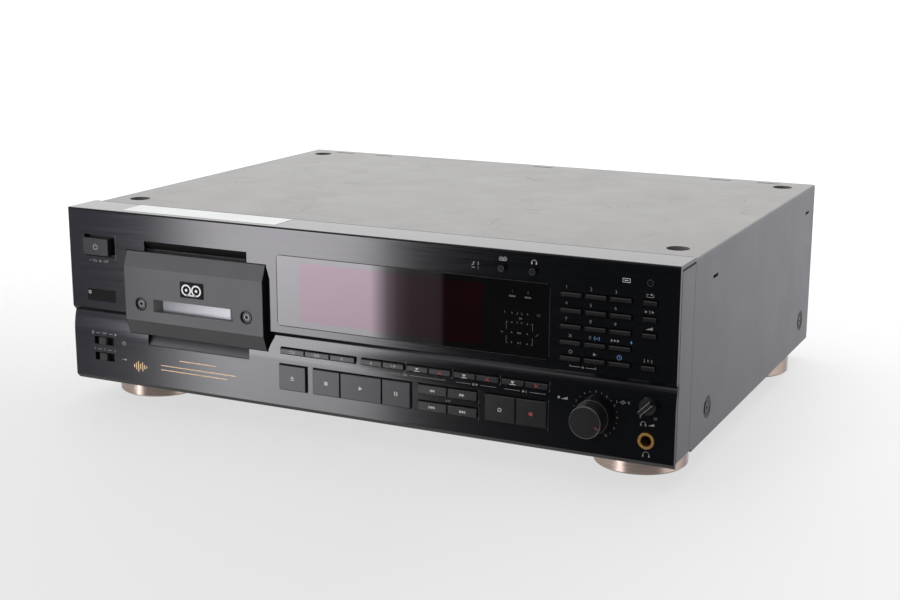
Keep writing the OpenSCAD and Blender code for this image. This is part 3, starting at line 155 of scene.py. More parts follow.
def vector2(tree, operation, a, b):
    return add(tree, "ShaderNodeVectorMath", {0: a, 1: b}, operation=operation).outputs[0]


def lengthOf(tree, vector):
    return add(tree, "ShaderNodeVectorMath", {0: vector}, operation="LENGTH").outputs["Value"]


def objectPlace(tree):
    return add(tree, "ShaderNodeTexCoord").outputs["Object"]


def objectAxes(tree):
    return add(tree, "ShaderNodeSeparateXYZ", {0: objectPlace(tree)}).outputs


def fromAxis(tree, place, centre):  # distance from an axis along the depth
    return lengthOf(tree, vector2(tree, "MULTIPLY", vector2(tree, "SUBTRACT", place, centre), (1, 0, 1)))


# node groups that the finishes share

def newGroup(name, inputs, outputs, tree="ShaderNodeTree"):
    group = bpy.data.node_groups.new(name, tree)
    for way, sockets in (("INPUT", inputs), ("OUTPUT", outputs)):
        for label, kind, *value in sockets:
            socket = group.interface.new_socket(label, in_out=way, socket_type="NodeSocket" + kind)
            if value:
                socket.default_value = value[0]
    return group, group.nodes.new("NodeGroupInput").outputs, group.nodes.new("NodeGroupOutput").inputs


def finishGroup(name, own, pattern):  # colour, roughness and height from one pattern
    group, given, out = newGroup(name, [
        *own, ("Dark", "Color", rgb(0.02)), ("Light", "Color", rgb(0.03)), ("Rough", "Float", 0.4),
        ("Spread", "Float", 0.1)], [("Color", "Color"), ("Roughness", "Float"), ("Height", "Float")])
    tone, sway, height = pattern(group, objectPlace(group), given)
    rough = times(group, math2(group, "SUBTRACT", sway, 0.5), given["Spread"])
    ends = {"Color": mixColour(group, tone, given["Dark"], given["Light"]),
            "Roughness": math2(group, "ADD", given["Rough"], rough), "Height": height}
    for label, value in ends.items():
        group.links.new(value, out[label])
    return group


def brushedLines(group, place, given):  # long fine lines, as on brushed or rolled metal
    lines = noise(group, vector2(group, "MULTIPLY", place, given["Along"]), 1.0, 3.0, 0.65)
    tone = spread(group, share(group, lines, noise(group, place, 14.0, 3.0, 0.6), 0.88), 0.3, 0.7)
    return tone, tone, lines


def mouldedGrain(group, place, given):  # fine even grain with a slow mottle, as on plastic or satin paint
    fine, slow = noise(group, place, given["Grain"], 2.0, 0.6), noise(group, place, 35.0, 4.0, 0.6)
    return spread(group, share(group, fine, slow, 0.5), 0.35, 0.65), slow, fine


def turnedRings(group, place, given):  # rings about an axis along the depth, as a lathe leaves them
    along = times(group, fromAxis(group, place, given["Centre"]), given["Rings"])
    rings = add(group, "ShaderNodeTexNoise", {"W": along, "Scale": 1.0, "Detail": 2.0},
                noise_dimensions="1D").outputs[0]
    tone = spread(group, rings, 0.3, 0.7)
    return tone, tone, rings


def makeScuffs():  # thin broken scratches and rubbed patches, as masks
    group, given, out = newGroup("scuffMarks", [("Scale", "Float", 20.0), ("Stretch", "Vector", (1, 1, 1))],
                                 [("Scratches", "Float"), ("Patches", "Float")])
    place = objectPlace(group)
    drawn = vector2(group, "MULTIPLY", place, given["Stretch"])
    bent = add(group, "ShaderNodeTexNoise", {"Vector": drawn, "Scale": 6.0, "Detail": 2.0}).outputs["Color"]
    bentBy = add(group, "ShaderNodeVectorMath", {0: bent, "Scale": 0.06}, operation="SCALE").outputs[0]
    warped = vector2(group, "ADD", drawn, bentBy)
    lines = 0.0
    for finer, width, breaks in ((1.0, 0.0016, 31.0), (2.3, 0.003, 19.0)):  # broken contours of slow noise
        slow = noise(group, warped, times(group, given["Scale"], finer), 1.0)
        off = math2(group, "ABSOLUTE", math2(group, "SUBTRACT", slow, 0.5))
        where = spread(group, noise(group, place, breaks, 2.0), 0.55, 0.63)
        line = times(group, spread(group, off, width, width * 2.2, 1.0, 0.0), where)
        lines = math2(group, "MAXIMUM", lines, line)
    group.links.new(lines, out["Scratches"])
    group.links.new(spread(group, noise(group, warped, 11.0, 6.0, 0.7), 0.52, 0.78), out["Patches"])
    return group


brushed = finishGroup("brushedLines", [("Along", "Vector", (10, 1200, 1200))], brushedLines)
moulded = finishGroup("mouldedGrain", [("Grain", "Float", 1800.0)], mouldedGrain)
turned = finishGroup("turnedRings", [("Centre", "Vector", (0, 0, 0)), ("Rings", "Float", 2500.0)],
                     turnedRings)
scuffs = makeScuffs()


def surface(tree, group, own, dark, light, rough, sway=0.1):  # a finish group with one finish's values
    dark, light = (rgb(*tone) if isinstance(tone, tuple) else rgb(tone) for tone in (dark, light))
    values = {**own, "Dark": dark, "Light": light, "Rough": rough, "Spread": sway}
    return add(tree, "ShaderNodeGroup", values, node_tree=group).outputs


def grained(tree, grain, *look):
    return surface(tree, moulded, {"Grain": grain}, *look)


shaderInputs = {"metallic": "Metallic", "roughness": "Roughness", "gloss": "Specular IOR Level",
                "glossTint": "Specular Tint", "glow": "Emission Strength", "glowColour": "Emission Color"}


def newMaterial(name, **constants):
    material = bpy.data.materials.new(name)
    material.use_nodes = True
    tree = material.node_tree
    tree.nodes.clear()
    shader = add(tree, "ShaderNodeBsdfPrincipled")
    for key, value in constants.items():
        shader.inputs[shaderInputs[key]].default_value = value
    add(tree, "ShaderNodeOutputMaterial", {"Surface": shader.outputs[0]})
    return material, tree, shader


def ownFinish(name, paint, **constants):  # paint gives a colour, a roughness and, for a bump, what is raised
    material, tree, shader = newMaterial(name, **constants)
    colour, rough, *raised = paint(tree)
    tree.links.new(colour, shader.inputs["Base Color"])
    tree.links.new(rough, shader.inputs["Roughness"])
    if raised:
        height, strength, distance = raised
        bump = add(tree, "ShaderNodeBump", {"Strength": strength, "Distance": distance, "Height": height})
        tree.links.new(bump.outputs[0], shader.inputs["Normal"])
    return material


def plainFinish(name, group, own, dark, light, rough=0.5, sway=0.1, bump=0.0, distance=0.00003, **constants):
    def paint(tree):
        given = surface(tree, group, own, dark, light, rough, sway)
        raised = (given["Height"], bump, distance) if bump else ()
        return given["Color"], given["Roughness"], *raised
    return ownFinish(name, paint, **constants)


def satin(name, grain, dark, light, **look):
    return plainFinish(name, moulded, {"Grain": grain}, dark, light, **look)


def metal(name, along, dark, light, **look):
    return plainFinish(name, brushed, {"Along": along}, dark, light, **look)


def lathed(name, centre, rings, dark, light, **look):
    return plainFinish(name, turned, {"Centre": centre, "Rings": rings}, dark, light, **look)


jack = {"x": 198.1, "z": 15.8}
dial = {"x": 166.3, "z": 27.0, "radius": 13.75, "start": 240.0, "sweep": 300.0, "last": 10, "size": 1.9,
        "dot": 0.22}
slots = {  # finishes of the record's slots: name, pattern, dark and light tone
    "black_panel": metal("anodisedPanel", (14, 3400, 3400), (0.0021, 0.0024, 0.0031), (0.0042, 0.0048, 0.006),
                         rough=0.095, sway=0.09, bump=0.08),
    "key_plastic": satin("keyPlastic", 2600.0, (0.0065, 0.0065, 0.0068), (0.0095, 0.0095, 0.0099),
                         rough=0.19, sway=0.03, bump=0.08, gloss=0.36),
    "slider_plastic": satin("sliderPlastic", 2400.0, 0.01, 0.018, rough=0.4, bump=0.1),
    "gear_plastic": satin("gearPlastic", 1500.0, (0.62, 0.6, 0.54), (0.72, 0.7, 0.64), rough=0.4, bump=0.08),
    "tray_plastic": satin("trayPlastic", 1700.0, (0.02, 0.02, 0.022), (0.034, 0.034, 0.036),
                          bump=0.15, distance=0.00004),
    "socket_plastic": satin("socketPlastic", 1900.0, 0.012, 0.022, rough=0.44, bump=0.12),
    "display_parts": satin("indicatorGlass", 900.0, (0.03, 0.012, 0.02), (0.05, 0.018, 0.03),
                           rough=0.25, bump=0.03),
    "chassis_steel": metal("platedChassis", (160, 900, 900), (0.3, 0.29, 0.26), (0.46, 0.45, 0.41),
                           rough=0.36, sway=0.2, bump=0.08, distance=0.00005, metallic=0.9),
    "rear_steel": satin("rearPaint", 1300.0, (0.014, 0.014, 0.015), (0.026, 0.026, 0.027),
                        bump=0.2, distance=0.00005),
    "mechanism_metal": metal("mechanismZinc", (700, 60, 700), (0.38, 0.38, 0.37), (0.55, 0.55, 0.53),
                             rough=0.34, sway=0.16, bump=0.08, distance=0.00005, metallic=0.95),
    "drum_metal": metal("drumAluminium", (60, 60, 2200), (0.6, 0.6, 0.61), (0.75, 0.75, 0.76),
                        rough=0.16, bump=0.05, metallic=1.0),
    "socket_metal": metal("socketNickel", (900, 80, 900), (0.52, 0.5, 0.46), (0.68, 0.66, 0.61),
                          rough=0.24, sway=0.14, bump=0.05, metallic=1.0),
    "screw_steel": metal("blackenedScrew", (900, 900, 900), (0.05, 0.05, 0.052), (0.11, 0.11, 0.115),
                         rough=0.34, sway=0.2, bump=0.06, distance=0.00004, metallic=0.85),
    "bolt_steel": metal("boltSteel", (1500, 1500, 1500), (0.01, 0.01, 0.0105), (0.02, 0.02, 0.021),
                        rough=0.3, sway=0.2, bump=0.06),
    "jack_brass": lathed("jackBrass", onPanel(jack["x"], 0, jack["z"]), 2500.0, (0.32, 0.18, 0.055),
                         (0.5, 0.3, 0.1), rough=0.26, sway=0.12, bump=0.015, distance=0.00002,
                         metallic=0.85),
    "knob_plastic": lathed("knobFinish", onPanel(dial["x"], 0, dial["z"]), 3500.0, (0.005, 0.005, 0.0053),
                           (0.0085, 0.0085, 0.009), rough=0.2, sway=0.05, bump=0.012, distance=0.00002),
    "foot_metal": metal("footChampagne", (40, 40, 2600), (0.5, 0.4, 0.34), (0.66, 0.54, 0.47),
                        rough=0.3, bump=0.06, distance=0.00004, metallic=0.8)}
# black of the round buttons, and of the painted shade in the drawer bolts' seats
buttonBlackAndSeatShade = satin("buttonBlackAndSeatShade", 2600.0, 0.003, 0.0045, rough=0.16, sway=0.03, bump=0.06)
# black of the drawer's plaque, and of the painted shade in the seams round the cover
plaqueBlackAndSeamShade = satin("plaqueBlackAndSeamShade", 2600.0, 0.003, 0.005, sway=0.05, bump=0.06, gloss=0.15)
phonesSatin = satin("phonesSatin", 2600.0, 0.005, 0.008, rough=0.26, sway=0.06, bump=0.08, gloss=0.34)
paper = satin("labelPaper", 1500.0, (0.45, 0.457, 0.454), (0.52, 0.528, 0.524), rough=0.6, bump=0.1)
lampGlass = satin("lampGlass", 2500.0, (0.035, 0.03, 0.028), (0.05, 0.043, 0.04), rough=0.3)
lampDark = satin("lampDark", 2500.0, (0.012, 0.01, 0.01), (0.02, 0.016, 0.016), rough=0.2)
redRubber = satin("redSocket", 2000.0, (0.32, 0.012, 0.012), (0.42, 0.02, 0.018), rough=0.42, bump=0.08)
whiteRubber = satin("whiteSocket", 2000.0, 0.62, 0.72, rough=0.42, bump=0.08)
plateTin = metal("plateTin", (12, 900, 900), (0.34, 0.34, 0.33), (0.42, 0.42, 0.41), rough=0.4, metallic=0.6)
# painted highlights: a pale dull metal for bright lines where light catches an edge
highlightTrimMetal = metal("paintedHighlightEdge", (900, 900, 900), (0.1, 0.1, 0.105), (0.17, 0.17, 0.175), rough=0.4,
                  metallic=0.4)
# painted highlight: the bright line round the key of each drawer bolt
keyHighlightMetal = metal("boltHexHighlight", (900, 900, 900), (0.22, 0.21, 0.2), (0.3, 0.29, 0.28), rough=0.35, metallic=0.5)
inks = {name: satin(name + "Ink", 3000.0, dark, light, rough=rough) for name, dark, light, rough in (
    ("white", 0.78, 0.88, 0.5), ("grey", 0.35, 0.42, 0.5), ("faint", 0.018, 0.026, 0.5),
    ("sign", (0.42, 0.4, 0.37), (0.5, 0.475, 0.44), 0.5),
    ("dot", (0.2, 0.012, 0.01), (0.26, 0.018, 0.014), 0.45),
    ("dim", (0.15, 0.14, 0.135), (0.2, 0.188, 0.18), 0.5),
    ("window", (0.05, 0.046, 0.045), (0.068, 0.062, 0.06), 0.5),
    ("blue", (0.06, 0.16, 0.36), (0.09, 0.21, 0.44), 0.45),
    ("gold", (0.8, 0.54, 0.3), (0.92, 0.66, 0.4), 0.4))}

coverLook = {"scale": 14.0, "stretch": (1.0, 0.6, 1.0), "dust": 0.14, "rubbed": 0.5, "rubbedRough": 0.1,
             "scratched": 0.62, "roof": (-4.0, -2.0)}


def coverPaint(tree):  # dark satin paint with scratches, rubbed patches and a little dust
    grain = grained(tree, 1100.0, (0.094, 0.091, 0.088), (0.12, 0.117, 0.114), 0.37, 0.16)
    marks = add(tree, "ShaderNodeGroup", {"Scale": coverLook["scale"], "Stretch": coverLook["stretch"]},
                node_tree=scuffs).outputs
    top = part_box("top_cover")[1].z  # the sides are cleaner than the roof
    roof = spread(tree, objectAxes(tree)["Z"], *(top + part for part in metres(coverLook["roof"])))
    dusty = mixColour(tree, times(tree, roof, coverLook["dust"]), grain["Color"], rgb(0.26, 0.245, 0.225))
    worn = mixColour(tree, times(tree, marks["Patches"], coverLook["rubbed"]), dusty, rgb(0.17, 0.155, 0.14))
    cuts = times(tree, times(tree, marks["Scratches"], roof), coverLook["scratched"])
    rough = math2(tree, "ADD", grain["Roughness"], times(tree, marks["Patches"], coverLook["rubbedRough"]))
    return (mixColour(tree, cuts, worn, rgb(0.02, 0.019, 0.018)), rough,
            math2(tree, "SUBTRACT", grain["Height"], cuts), 0.1, 0.00006)


bezelScoopShade = {"low": 60.0, "high": 78.0}


def bezelPaint(tree):  # satin moulding, with painted shade darkening the hollow above the drawer
    scoopShade = spread(tree, objectAxes(tree)["Z"], *(onPanel(0, 0, z).z for z in bezelScoopShade.values()))
    grain = grained(tree, 2200.0, (0.085, 0.085, 0.089), (0.105, 0.105, 0.11), 0.34)
    return mixColour(tree, scoopShade, grain["Color"], rgb(0.012)), grain["Roughness"]


windowLook = {"low": (-50.1, 56.4), "high": (136.6, 102.0), "soft": 0.1, "rough": 0.02, "edgeRough": 0.9,
              "gloss": 0.57, "filterGloss": 0.64, "weave": 260.0, "woven": 0.35}


def windowPaint(tree):  # smoked acrylic with a dull line round its edge
    axes, soft = objectAxes(tree), windowLook["soft"] / 1000
    grain = grained(tree, 700.0, 0.0025, 0.0035, windowLook["rough"], 0.01)
    low, high = (onPanel(x, 0, z) for x, z in (windowLook["low"], windowLook["high"]))
    across = between(tree, axes["X"], low.x, high.x, soft)
    pane = times(tree, across, between(tree, axes["Z"], low.z, high.z, soft))
    return grain["Color"], spread(tree, pane, 0.0, 1.0, windowLook["edgeRough"], grain["Roughness"])


def filterPaint(tree):  # the indicator's red filter, seen through the window
    weave = add(tree, "ShaderNodeTexWave", {"Vector": objectPlace(tree), "Scale": windowLook["weave"],
                                            "Distortion": 0.4}, bands_direction="Z").outputs["Fac"]
    grain = grained(tree, 700.0, (0.005, 0.0012, 0.0018), (0.007, 0.0016, 0.0024), windowLook["rough"], 0.01)
    threads = times(tree, weave, windowLook["woven"])
    return mixColour(tree, threads, grain["Color"], rgb(0.011, 0.002, 0.003)), grain["Roughness"]


drawerBolts = {"left": (-154.3, 59.8), "right": (-71.3, 59.8)}
drawerLightAndShade = {"low": 48.3, "high": 84.4, "left": -166.7, "full": -135.0, "right": -58.9,  # between the bevels
              "shadedLeftShare": 0.35, "soft": 0.1, "bevelSoft": 0.2, "seat": (4.6, 4.8)}


def drawerPaint(tree):  # satin moulding; painted light makes its front face between the bevels paler, less so towards the left, and painted shade makes its two ends black
    grain = grained(tree, 2400.0, (0.042, 0.042, 0.043), (0.054, 0.054, 0.0555), 0.44)
    place, axes = objectPlace(tree), objectAxes(tree)
    left, full, right = (onPanel(drawerLightAndShade[end], 0, 0).x for end in ("left", "full", "right"))
    low, high = (onPanel(0, 0, drawerLightAndShade[end]).z for end in ("low", "high"))
    # painted light: the front face between the bevels is paler, fading towards the left end
    paintedLight = spread(tree, axes["X"], left, full, drawerLightAndShade["shadedLeftShare"], 1.0)
    paintedFrontLight = times(tree, between(tree, axes["Z"], low, high, drawerLightAndShade["bevelSoft"] / 1000), paintedLight)
    pale = mixColour(tree, paintedFrontLight, grain["Color"], rgb(0.088, 0.088, 0.09))
    # painted shade: black beyond the face's two ends
    face = between(tree, axes["X"], left, right, drawerLightAndShade["soft"] / 1000)
    for x, z in drawerBolts.values():  # painted shade: the sunk seats of the bolts are black
        away = fromAxis(tree, place, onPanel(x, 0, z))
        face = times(tree, face, spread(tree, away, *metres(drawerLightAndShade["seat"])))
    return mixColour(tree, face, rgb(0.004), pale), grain["Roughness"], grain["Height"], 0.12, 0.00003


paneLightEnds = {"left": -139.0, "right": -86.0}


def panePaint(tree):  # pale and frosted, with painted light making it lighter towards its right end
    along = spread(tree, objectAxes(tree)["X"], *(onPanel(x, 0, 0).x for x in paneLightEnds.values()))
    grain = grained(tree, 900.0, 0.92, 1.0, 0.12, 0.06)
    tone = mixColour(tree, along, rgb(0.18, 0.186, 0.21), rgb(0.6, 0.608, 0.645))
    return mixColour(tree, 1.0, tone, grain["Color"], "MULTIPLY"), grain["Roughness"]


def boardPaint(tree):  # green board with paler tracks
    cells = add(tree, "ShaderNodeTexBrick", {
        "Vector": objectPlace(tree), "Color1": rgb(0.02, 0.09, 0.04), "Color2": rgb(0.025, 0.11, 0.05),
        "Mortar": rgb(0.05, 0.16, 0.08), "Scale": 60.0, "Mortar Size": 0.03}).outputs["Color"]
    grain = grained(tree, 800.0, 0.85, 1.0, 0.4)
    return mixColour(tree, 1.0, cells, grain["Color"], "MULTIPLY"), grain["Roughness"]


def corePaint(tree):  # stacked laminations round a taped winding
    layers = add(tree, "ShaderNodeTexWave", {"Vector": objectPlace(tree), "Scale": 330.0},
                 bands_direction="Y").outputs["Fac"]
    grain = grained(tree, 900.0, (0.06, 0.055, 0.05), (0.1, 0.095, 0.09), 0.5)
    return mixColour(tree, times(tree, layers, 0.4), grain["Color"], rgb(0.02)), grain["Roughness"]


slots.update(
    cover_paint=ownFinish("coverPaint", coverPaint), bezel_plastic=ownFinish("bezelPlastic", bezelPaint),
    smoked_window=ownFinish("smokedWindow", windowPaint, gloss=windowLook["gloss"]),
    drawer_plastic=ownFinish("drawerPlastic", drawerPaint), clear_window=ownFinish("palePane", panePaint),
    circuit_board=ownFinish("circuitBoard", boardPaint),
    transformer_core=ownFinish("transformerCore", corePaint))
filterRed = ownFinish("indicatorFilter", filterPaint, glossTint=rgb(1.0, 0.79, 0.895),
                      gloss=windowLook["filterGloss"])
roundButtons = ("record_mode_button", "record_monitor_button", "display_mode_button")
for part in frame["record"]["subparts"]:
    mesh = nodes[part["node"]].data
    mesh.materials.clear()
    mesh.materials.append(slots[part["material_slot"]])
for node in roundButtons:
    nodes[node].data.materials[0] = buttonBlackAndSeatShade
nodes["phones_level_knob"].data.materials[0] = phonesSatin


# printed marks: flat shapes in panel millimetres, one mesh for each ink and body
printing = {"lift": 0.02, "thick": 0.05, "weld": 0.004}
thin = 0.28  # width of printed lines


class Print:
    def __init__(self):
        self.points, self.faces = [], []

    def area(self, corners):
        start = len(self.points)
        self.points += corners
        self.faces.append(tuple(range(start, len(self.points))))

    def line(self, path, width, closed=False):  # a mitred strip
        count, sides = len(path), []
        for i, (x, z) in enumerate(path):
            back = path[i - 1] if i or closed else None
            ahead = path[(i + 1) % count] if i < count - 1 or closed else None
            runs = [(x - back[0], z - back[1])] if back else []
            runs += [(ahead[0] - x, ahead[1] - z)] if ahead else []
            runs = [(a / math.hypot(a, b), b / math.hypot(a, b)) for a, b in runs]
            nx, nz = -sum(r[1] for r in runs), sum(r[0] for r in runs)
            size = math.hypot(nx, nz)
            nx, nz = nx / size, nz / size
            reach = width / 2 / max(0.4, abs(nx * -runs[0][1] + nz * runs[0][0]))
            sides.append(((x + nx * reach, z + nz * reach), (x - nx * reach, z - nz * reach)))
        for i in range(count if closed else count - 1):
            (a, b), (c, d) = sides[i], sides[(i + 1) % count]
            self.area([b, d, c, a])

    def dash(self, x, z, wide, high):
        self.area([(x - wide / 2, z - high / 2), (x + wide / 2, z - high / 2),
                   (x + wide / 2, z + high / 2), (x - wide / 2, z + high / 2)])

    def arc(self, x, z, radius, width, start=0.0, end=360.0, steps=28):
        full = abs(end - start) >= 360
        turns = [math.radians(start + (end - start) * i / steps) for i in range(steps if full else steps + 1)]
        self.line([(x + radius * math.cos(t), z + radius * math.sin(t)) for t in turns], width, full)

    def disc(self, x, z, radius, steps=24):
        self.area([(x + radius * math.cos(math.tau * i / steps), z + radius * math.sin(math.tau * i / steps))
                   for i in range(steps)])

    def arrow(self, x, z, size, way=1):  # a filled triangle, centred
        tip, tail = (x + way * size * 0.5, z), x - way * size * 0.5
        low, high = (tail, z - size * 0.55), (tail, z + size * 0.55)
        self.area([low, tip, high] if way > 0 else [tip, low, high])

    def figure(self, words, x, z, size, slim=0.012):  # numbers, letters, and ON and OFF
        curve = bpy.data.curves.new("figure", "FONT")
        curve.body, curve.size, curve.resolution_u, curve.offset = words, size, 3, -slim * size
        curve.align_x = curve.align_y = "CENTER"
        flat = takeMesh(newObject("figure", curve))
        for face in flat.polygons:
            self.area([(x + flat.vertices[i].co.x, z + flat.vertices[i].co.y) for i in face.vertices])
        bpy.data.curves.remove(curve)
        bpy.data.meshes.remove(flat)

    def onto(self, name, body, ink, slot, depth=None, rear=False):  # without a depth it follows the panel
        sheet, corners, way = bmesh.new(), [], -1 if rear else 1
        for x, z in self.points:
            front = panelDepth(z) if depth is None else depth
            corners.append(sheet.verts.new(onPanel(way * x, front - way * printing["lift"], z)))
        for face in self.faces:
            sheet.faces.new([corners[i] for i in face])
        bmesh.ops.remove_doubles(sheet, verts=sheet.verts, dist=printing["weld"] / 1000)
        for face in sheet.faces:
            face.normal_update()
            if (face.normal.y > 0) != rear:
                face.normal_flip()
        return addPiece(name, meshFrom(sheet, name), body, ink, printing["thick"] / 1000)


def each(draw, *items):  # the same mark at several places
    for item in items:
        draw(*item)


def wedge(ink, x, z, wide=4.4, high=1.7):  # rising level
    ink.area([(x - wide / 2, z - high / 2), (x + wide / 2, z - high / 2), (x + wide / 2, z + high / 2)])


def clock(ink, x, z, size=1.25):
    ink.arc(x, z, size, thin)
    ink.line([(x, z + size * 0.66), (x, z), (x + size * 0.5, z)], thin * 0.9)


def phones(ink, x, z, size=2.0):
    ink.arc(x, z - size * 0.2, size, thin, 0, 180, 18)
    for side in (-1, 1):
        ink.dash(x + side * (size - 0.05), z - size * 0.52, 0.75, 1.25)


def reels(ink, x, z, wide, line):  # two reels and the tape between them
    size = wide * 0.23
    for side in (-1, 1):
        ink.arc(x + side * (wide / 2 - size), z, size, line, 0, 360, 24)
        ink.disc(x + side * (wide / 2 - size), z, size * 0.3, 14)
    ink.line([(x - wide / 2 + size, z - size), (x + wide / 2 - size, z - size)], line)


def wave(ink, x, z, wide, high, line):  # upright bars of a sound
    shares = (0.3, 0.65, 1.0, 0.5, 0.85, 0.4, 0.2)
    for i, part in enumerate(shares):
        ink.dash(x + wide * (i / (len(shares) - 1) - 0.5), z, line, high * part)


def loop(ink, x, z):
    ends = ((-0.6, 0.8), (-1.8, 0.8), (-2.1, 0.5), (-2.1, -0.5), (-1.8, -0.8), (1.8, -0.8), (2.1, -0.5),
            (2.1, 0.5), (1.8, 0.8), (1.2, 0.8))
    ink.line([(x + a, z + b) for a, b in ends], thin)
    ink.arrow(x + 0.5, z + 0.8, 1.3, -1)


def frameLine(low, high):  # corners of a rectangle
    return [low, (high[0], low[1]), high, (low[0], high[1])]


keypad = {"x": 147.0, "z": 101.5, "stepX": 15.1, "stepZ": 9.55, "size": 2.9}
# painted highlights: two light lines along the edges of the phones knob's pointer bar
phonesBarHighlights = {"x": 199.2, "z": 37.2, "half": 1.25, "ends": (-4.0, 5.6), "line": 0.3}


def panelMarks():
    white, blue, gold, faint, remote, bar = (Print() for _ in range(6))
    # left controls
    each(white.dash, (-198.6, 84.7, 1.2, 0.3), (-195.2, 34.2, 3.2, 0.25), (-184.4, 34.2, 3.2, 0.25),
         (-194.2, 22.9, 3.4, 0.25), (-185.6, 22.9, 3.4, 0.25))
    each(white.figure, ("ON", -194.6, 84.7, 2.5), ("OFF", -185.2, 84.7, 2.5), ("OFF", -189.8, 34.2, 2.2),
         ("1", -198.4, 22.9, 2.2), ("2", -189.9, 22.9, 2.2), ("3", -181.4, 22.9, 2.2))
    white.line(frameLine((-190.6, 84.2), (-189.4, 85.2)), thin, True)
    white.arc(-199.4, 34.2, 0.8, thin, 0, 360, 18)
    clock(white, -173.4, 29.2)
    white.line([(-175.6, 18.0), (-173.0, 18.0)], thin)
    each(white.arrow, (-180.2, 34.2, 1.7), (-172.4, 18.0, 1.5))
    remote.line(frameLine((-200.9, 61.7), (-199.3, 63.3)), 0.5, True)
    # plain rules and a row of bars in gold
    wave(gold, -160.4, 14.6, 10.0, 7.4, 0.7)
    for z, start, end in ((22.4, -128.0, -99.0), (17.6, -143.5, -83.5), (14.6, -143.5, -90.5)):
        gold.line([(start, z), (end, z)], 0.5)
    # round buttons
    reels(white, 106.6, 114.3, 4.8, 0.26)
    phones(white, 126.4, 114.2, 1.5)
    each(white.line, ([(86.4, 109.0), (87.4, 109.0), (87.4, 110.6), (88.4, 110.6)], 0.26),
         ([(86.4, 107.4), (88.4, 107.4)], 0.26), (frameLine((181.0, 107.9), (185.4, 110.1)), thin, True))
    each(white.figure, ("2", 90.6, 109.9, 2.3), ("1", 90.6, 107.3, 2.3))
    white.dash(183.2, 109.0, 2.4, 0.5)
    # number keys
    for i in range(9):
        x, z = keypad["x"] + keypad["stepX"] * (i % 3), keypad["z"] - keypad["stepZ"] * (i // 3)
        faint.figure(str(i + 1), x, z, keypad["size"])
    each(faint.line, ([(149.0, 71.9), (150.6, 73.6)], thin), ([(149.0, 73.6), (149.6, 73.0)], thin),
         ([(150.0, 72.5), (150.6, 71.9)], thin))
    faint.figure("0", 162.1, 72.8, keypad["size"])
    each(blue.dash, (166.3, 72.8, 1.5, 0.36), (187.2, 72.9, 1.5, 0.36), (187.2, 73.45, 0.36, 0.7),
         (187.2, 72.35, 0.36, 0.7))
    each(blue.arc, (166.2, 72.8, 1.5, 0.3, 130, 230, 8), (166.4, 72.8, 1.5, 0.3, -50, 50, 8))
    each(faint.arrow, (175.6, 72.9, 1.5), (177.5, 72.9, 1.5), (179.4, 72.9, 1.5), (165.2, 63.2, 1.8))
    faint.arc(150.2, 63.2, 0.95, thin, 0, 360, 18)
    clock(blue, 180.2, 63.2, 1.35)
    for way in (-1, 1):
        faint.line([(158.0 + way * 8.0, 55.6), (158.0 + way * 8.0, 54.5), (158.0 + way * 1.6, 54.5)], thin)
    faint.dash(158.0, 54.5, 1.0, 1.0)
    # mode keys
    loop(faint, 197.5, 101.4)
    each(faint.arrow, (195.5, 92.0, 1.5), (199.5, 92.0, 1.5))
    each(faint.dash, (197.5, 92.0, 0.34, 1.8), (195.3, 63.2, 0.3, 2.0), (199.7, 63.2, 0.3, 2.0))
    wedge(faint, 197.5, 82.4)
    faint.figure("0", 197.5, 63.2, 2.6)
    # groups of mark keys
    for middle, start, end in ((41.4, 14.0, 69.0), (89.3, 76.0, 103.0), (121.5, 108.0, 135.0)):
        for near, far in ((start, middle - 3.2), (middle + 3.2, end)):
            faint.line([(near, 35.0), (far, 35.0)], 0.24)
    each(faint.dash, (40.3, 35.0, 0.34, 1.9), (122.5, 35.0, 0.34, 1.9))
    each(faint.arrow, (42.0, 35.0, 1.7), (88.2, 35.0, 1.7), (90.3, 35.0, 1.7), (120.8, 35.0, 1.7),
         (69.7, 22.1, 1.2, -1), (71.9, 22.1, 1.2))
    # levels and jack
    faint.disc(143.4, 34.6, 0.8, 16)
    wedge(faint, 146.8, 34.6)
    each(faint.figure, ("L", 179.6, 36.7, 2.3), ("R", 186.9, 36.7, 2.3), ("0", 194.0, 29.6, 2.2),
         ("10", 203.0, 29.6, 2.2))
    each(faint.dash, (181.5, 36.7, 0.9, 0.25), (184.9, 36.7, 0.9, 0.25))
    faint.arc(183.2, 36.7, 0.85, thin, 0, 360, 18)
    each(phones, (faint, 195.9, 25.8, 1.5), (faint, jack["x"], 7.4, 1.9))
    wedge(faint, 200.6, 25.6, 3.8, 1.5)
    # painted highlights along the edges of the phones knob's pointer bar
    slant, half = math.sqrt(0.5), phonesBarHighlights["half"]
    for side in (-slant * half, slant * half):
        x, z = phonesBarHighlights["x"] + side, phonesBarHighlights["z"] - side
        bar.line([(x - slant * r, z - slant * r) for r in phonesBarHighlights["ends"]], phonesBarHighlights["line"])
    knob = "phones_level_knob"
    remote.onto("remoteSign", "deck", inks["sign"], "smoked_window")
    bar.onto("phonesPointerHighlights", knob, inks["dim"], "knob_plastic", faceDepth(knob))
    for name, marks, ink in (("White", white, "grey"), ("Dim", faint, "dim"), ("Blue", blue, "blue"),
                             ("Gold", gold, "gold")):
        marks.onto("panelMarks" + name, "deck", inks[ink], "black_panel")


def dialMarks():  # numbers round the level knob, a dot between each pair
    ink = Print()
    for i in range(2 * dial["last"] + 1):
        turn = math.radians(dial["start"] - dial["sweep"] * i / dial["last"] / 2)
        x, z = dial["x"] + dial["radius"] * math.cos(turn), dial["z"] + dial["radius"] * math.sin(turn)
        if i % 2 == 0:
            ink.figure(str(i // 2), x, z, dial["size"])
        else:
            ink.disc(x, z, dial["dot"], 12)
    ink.onto("dialMarks", "deck", inks["dim"], "black_panel")


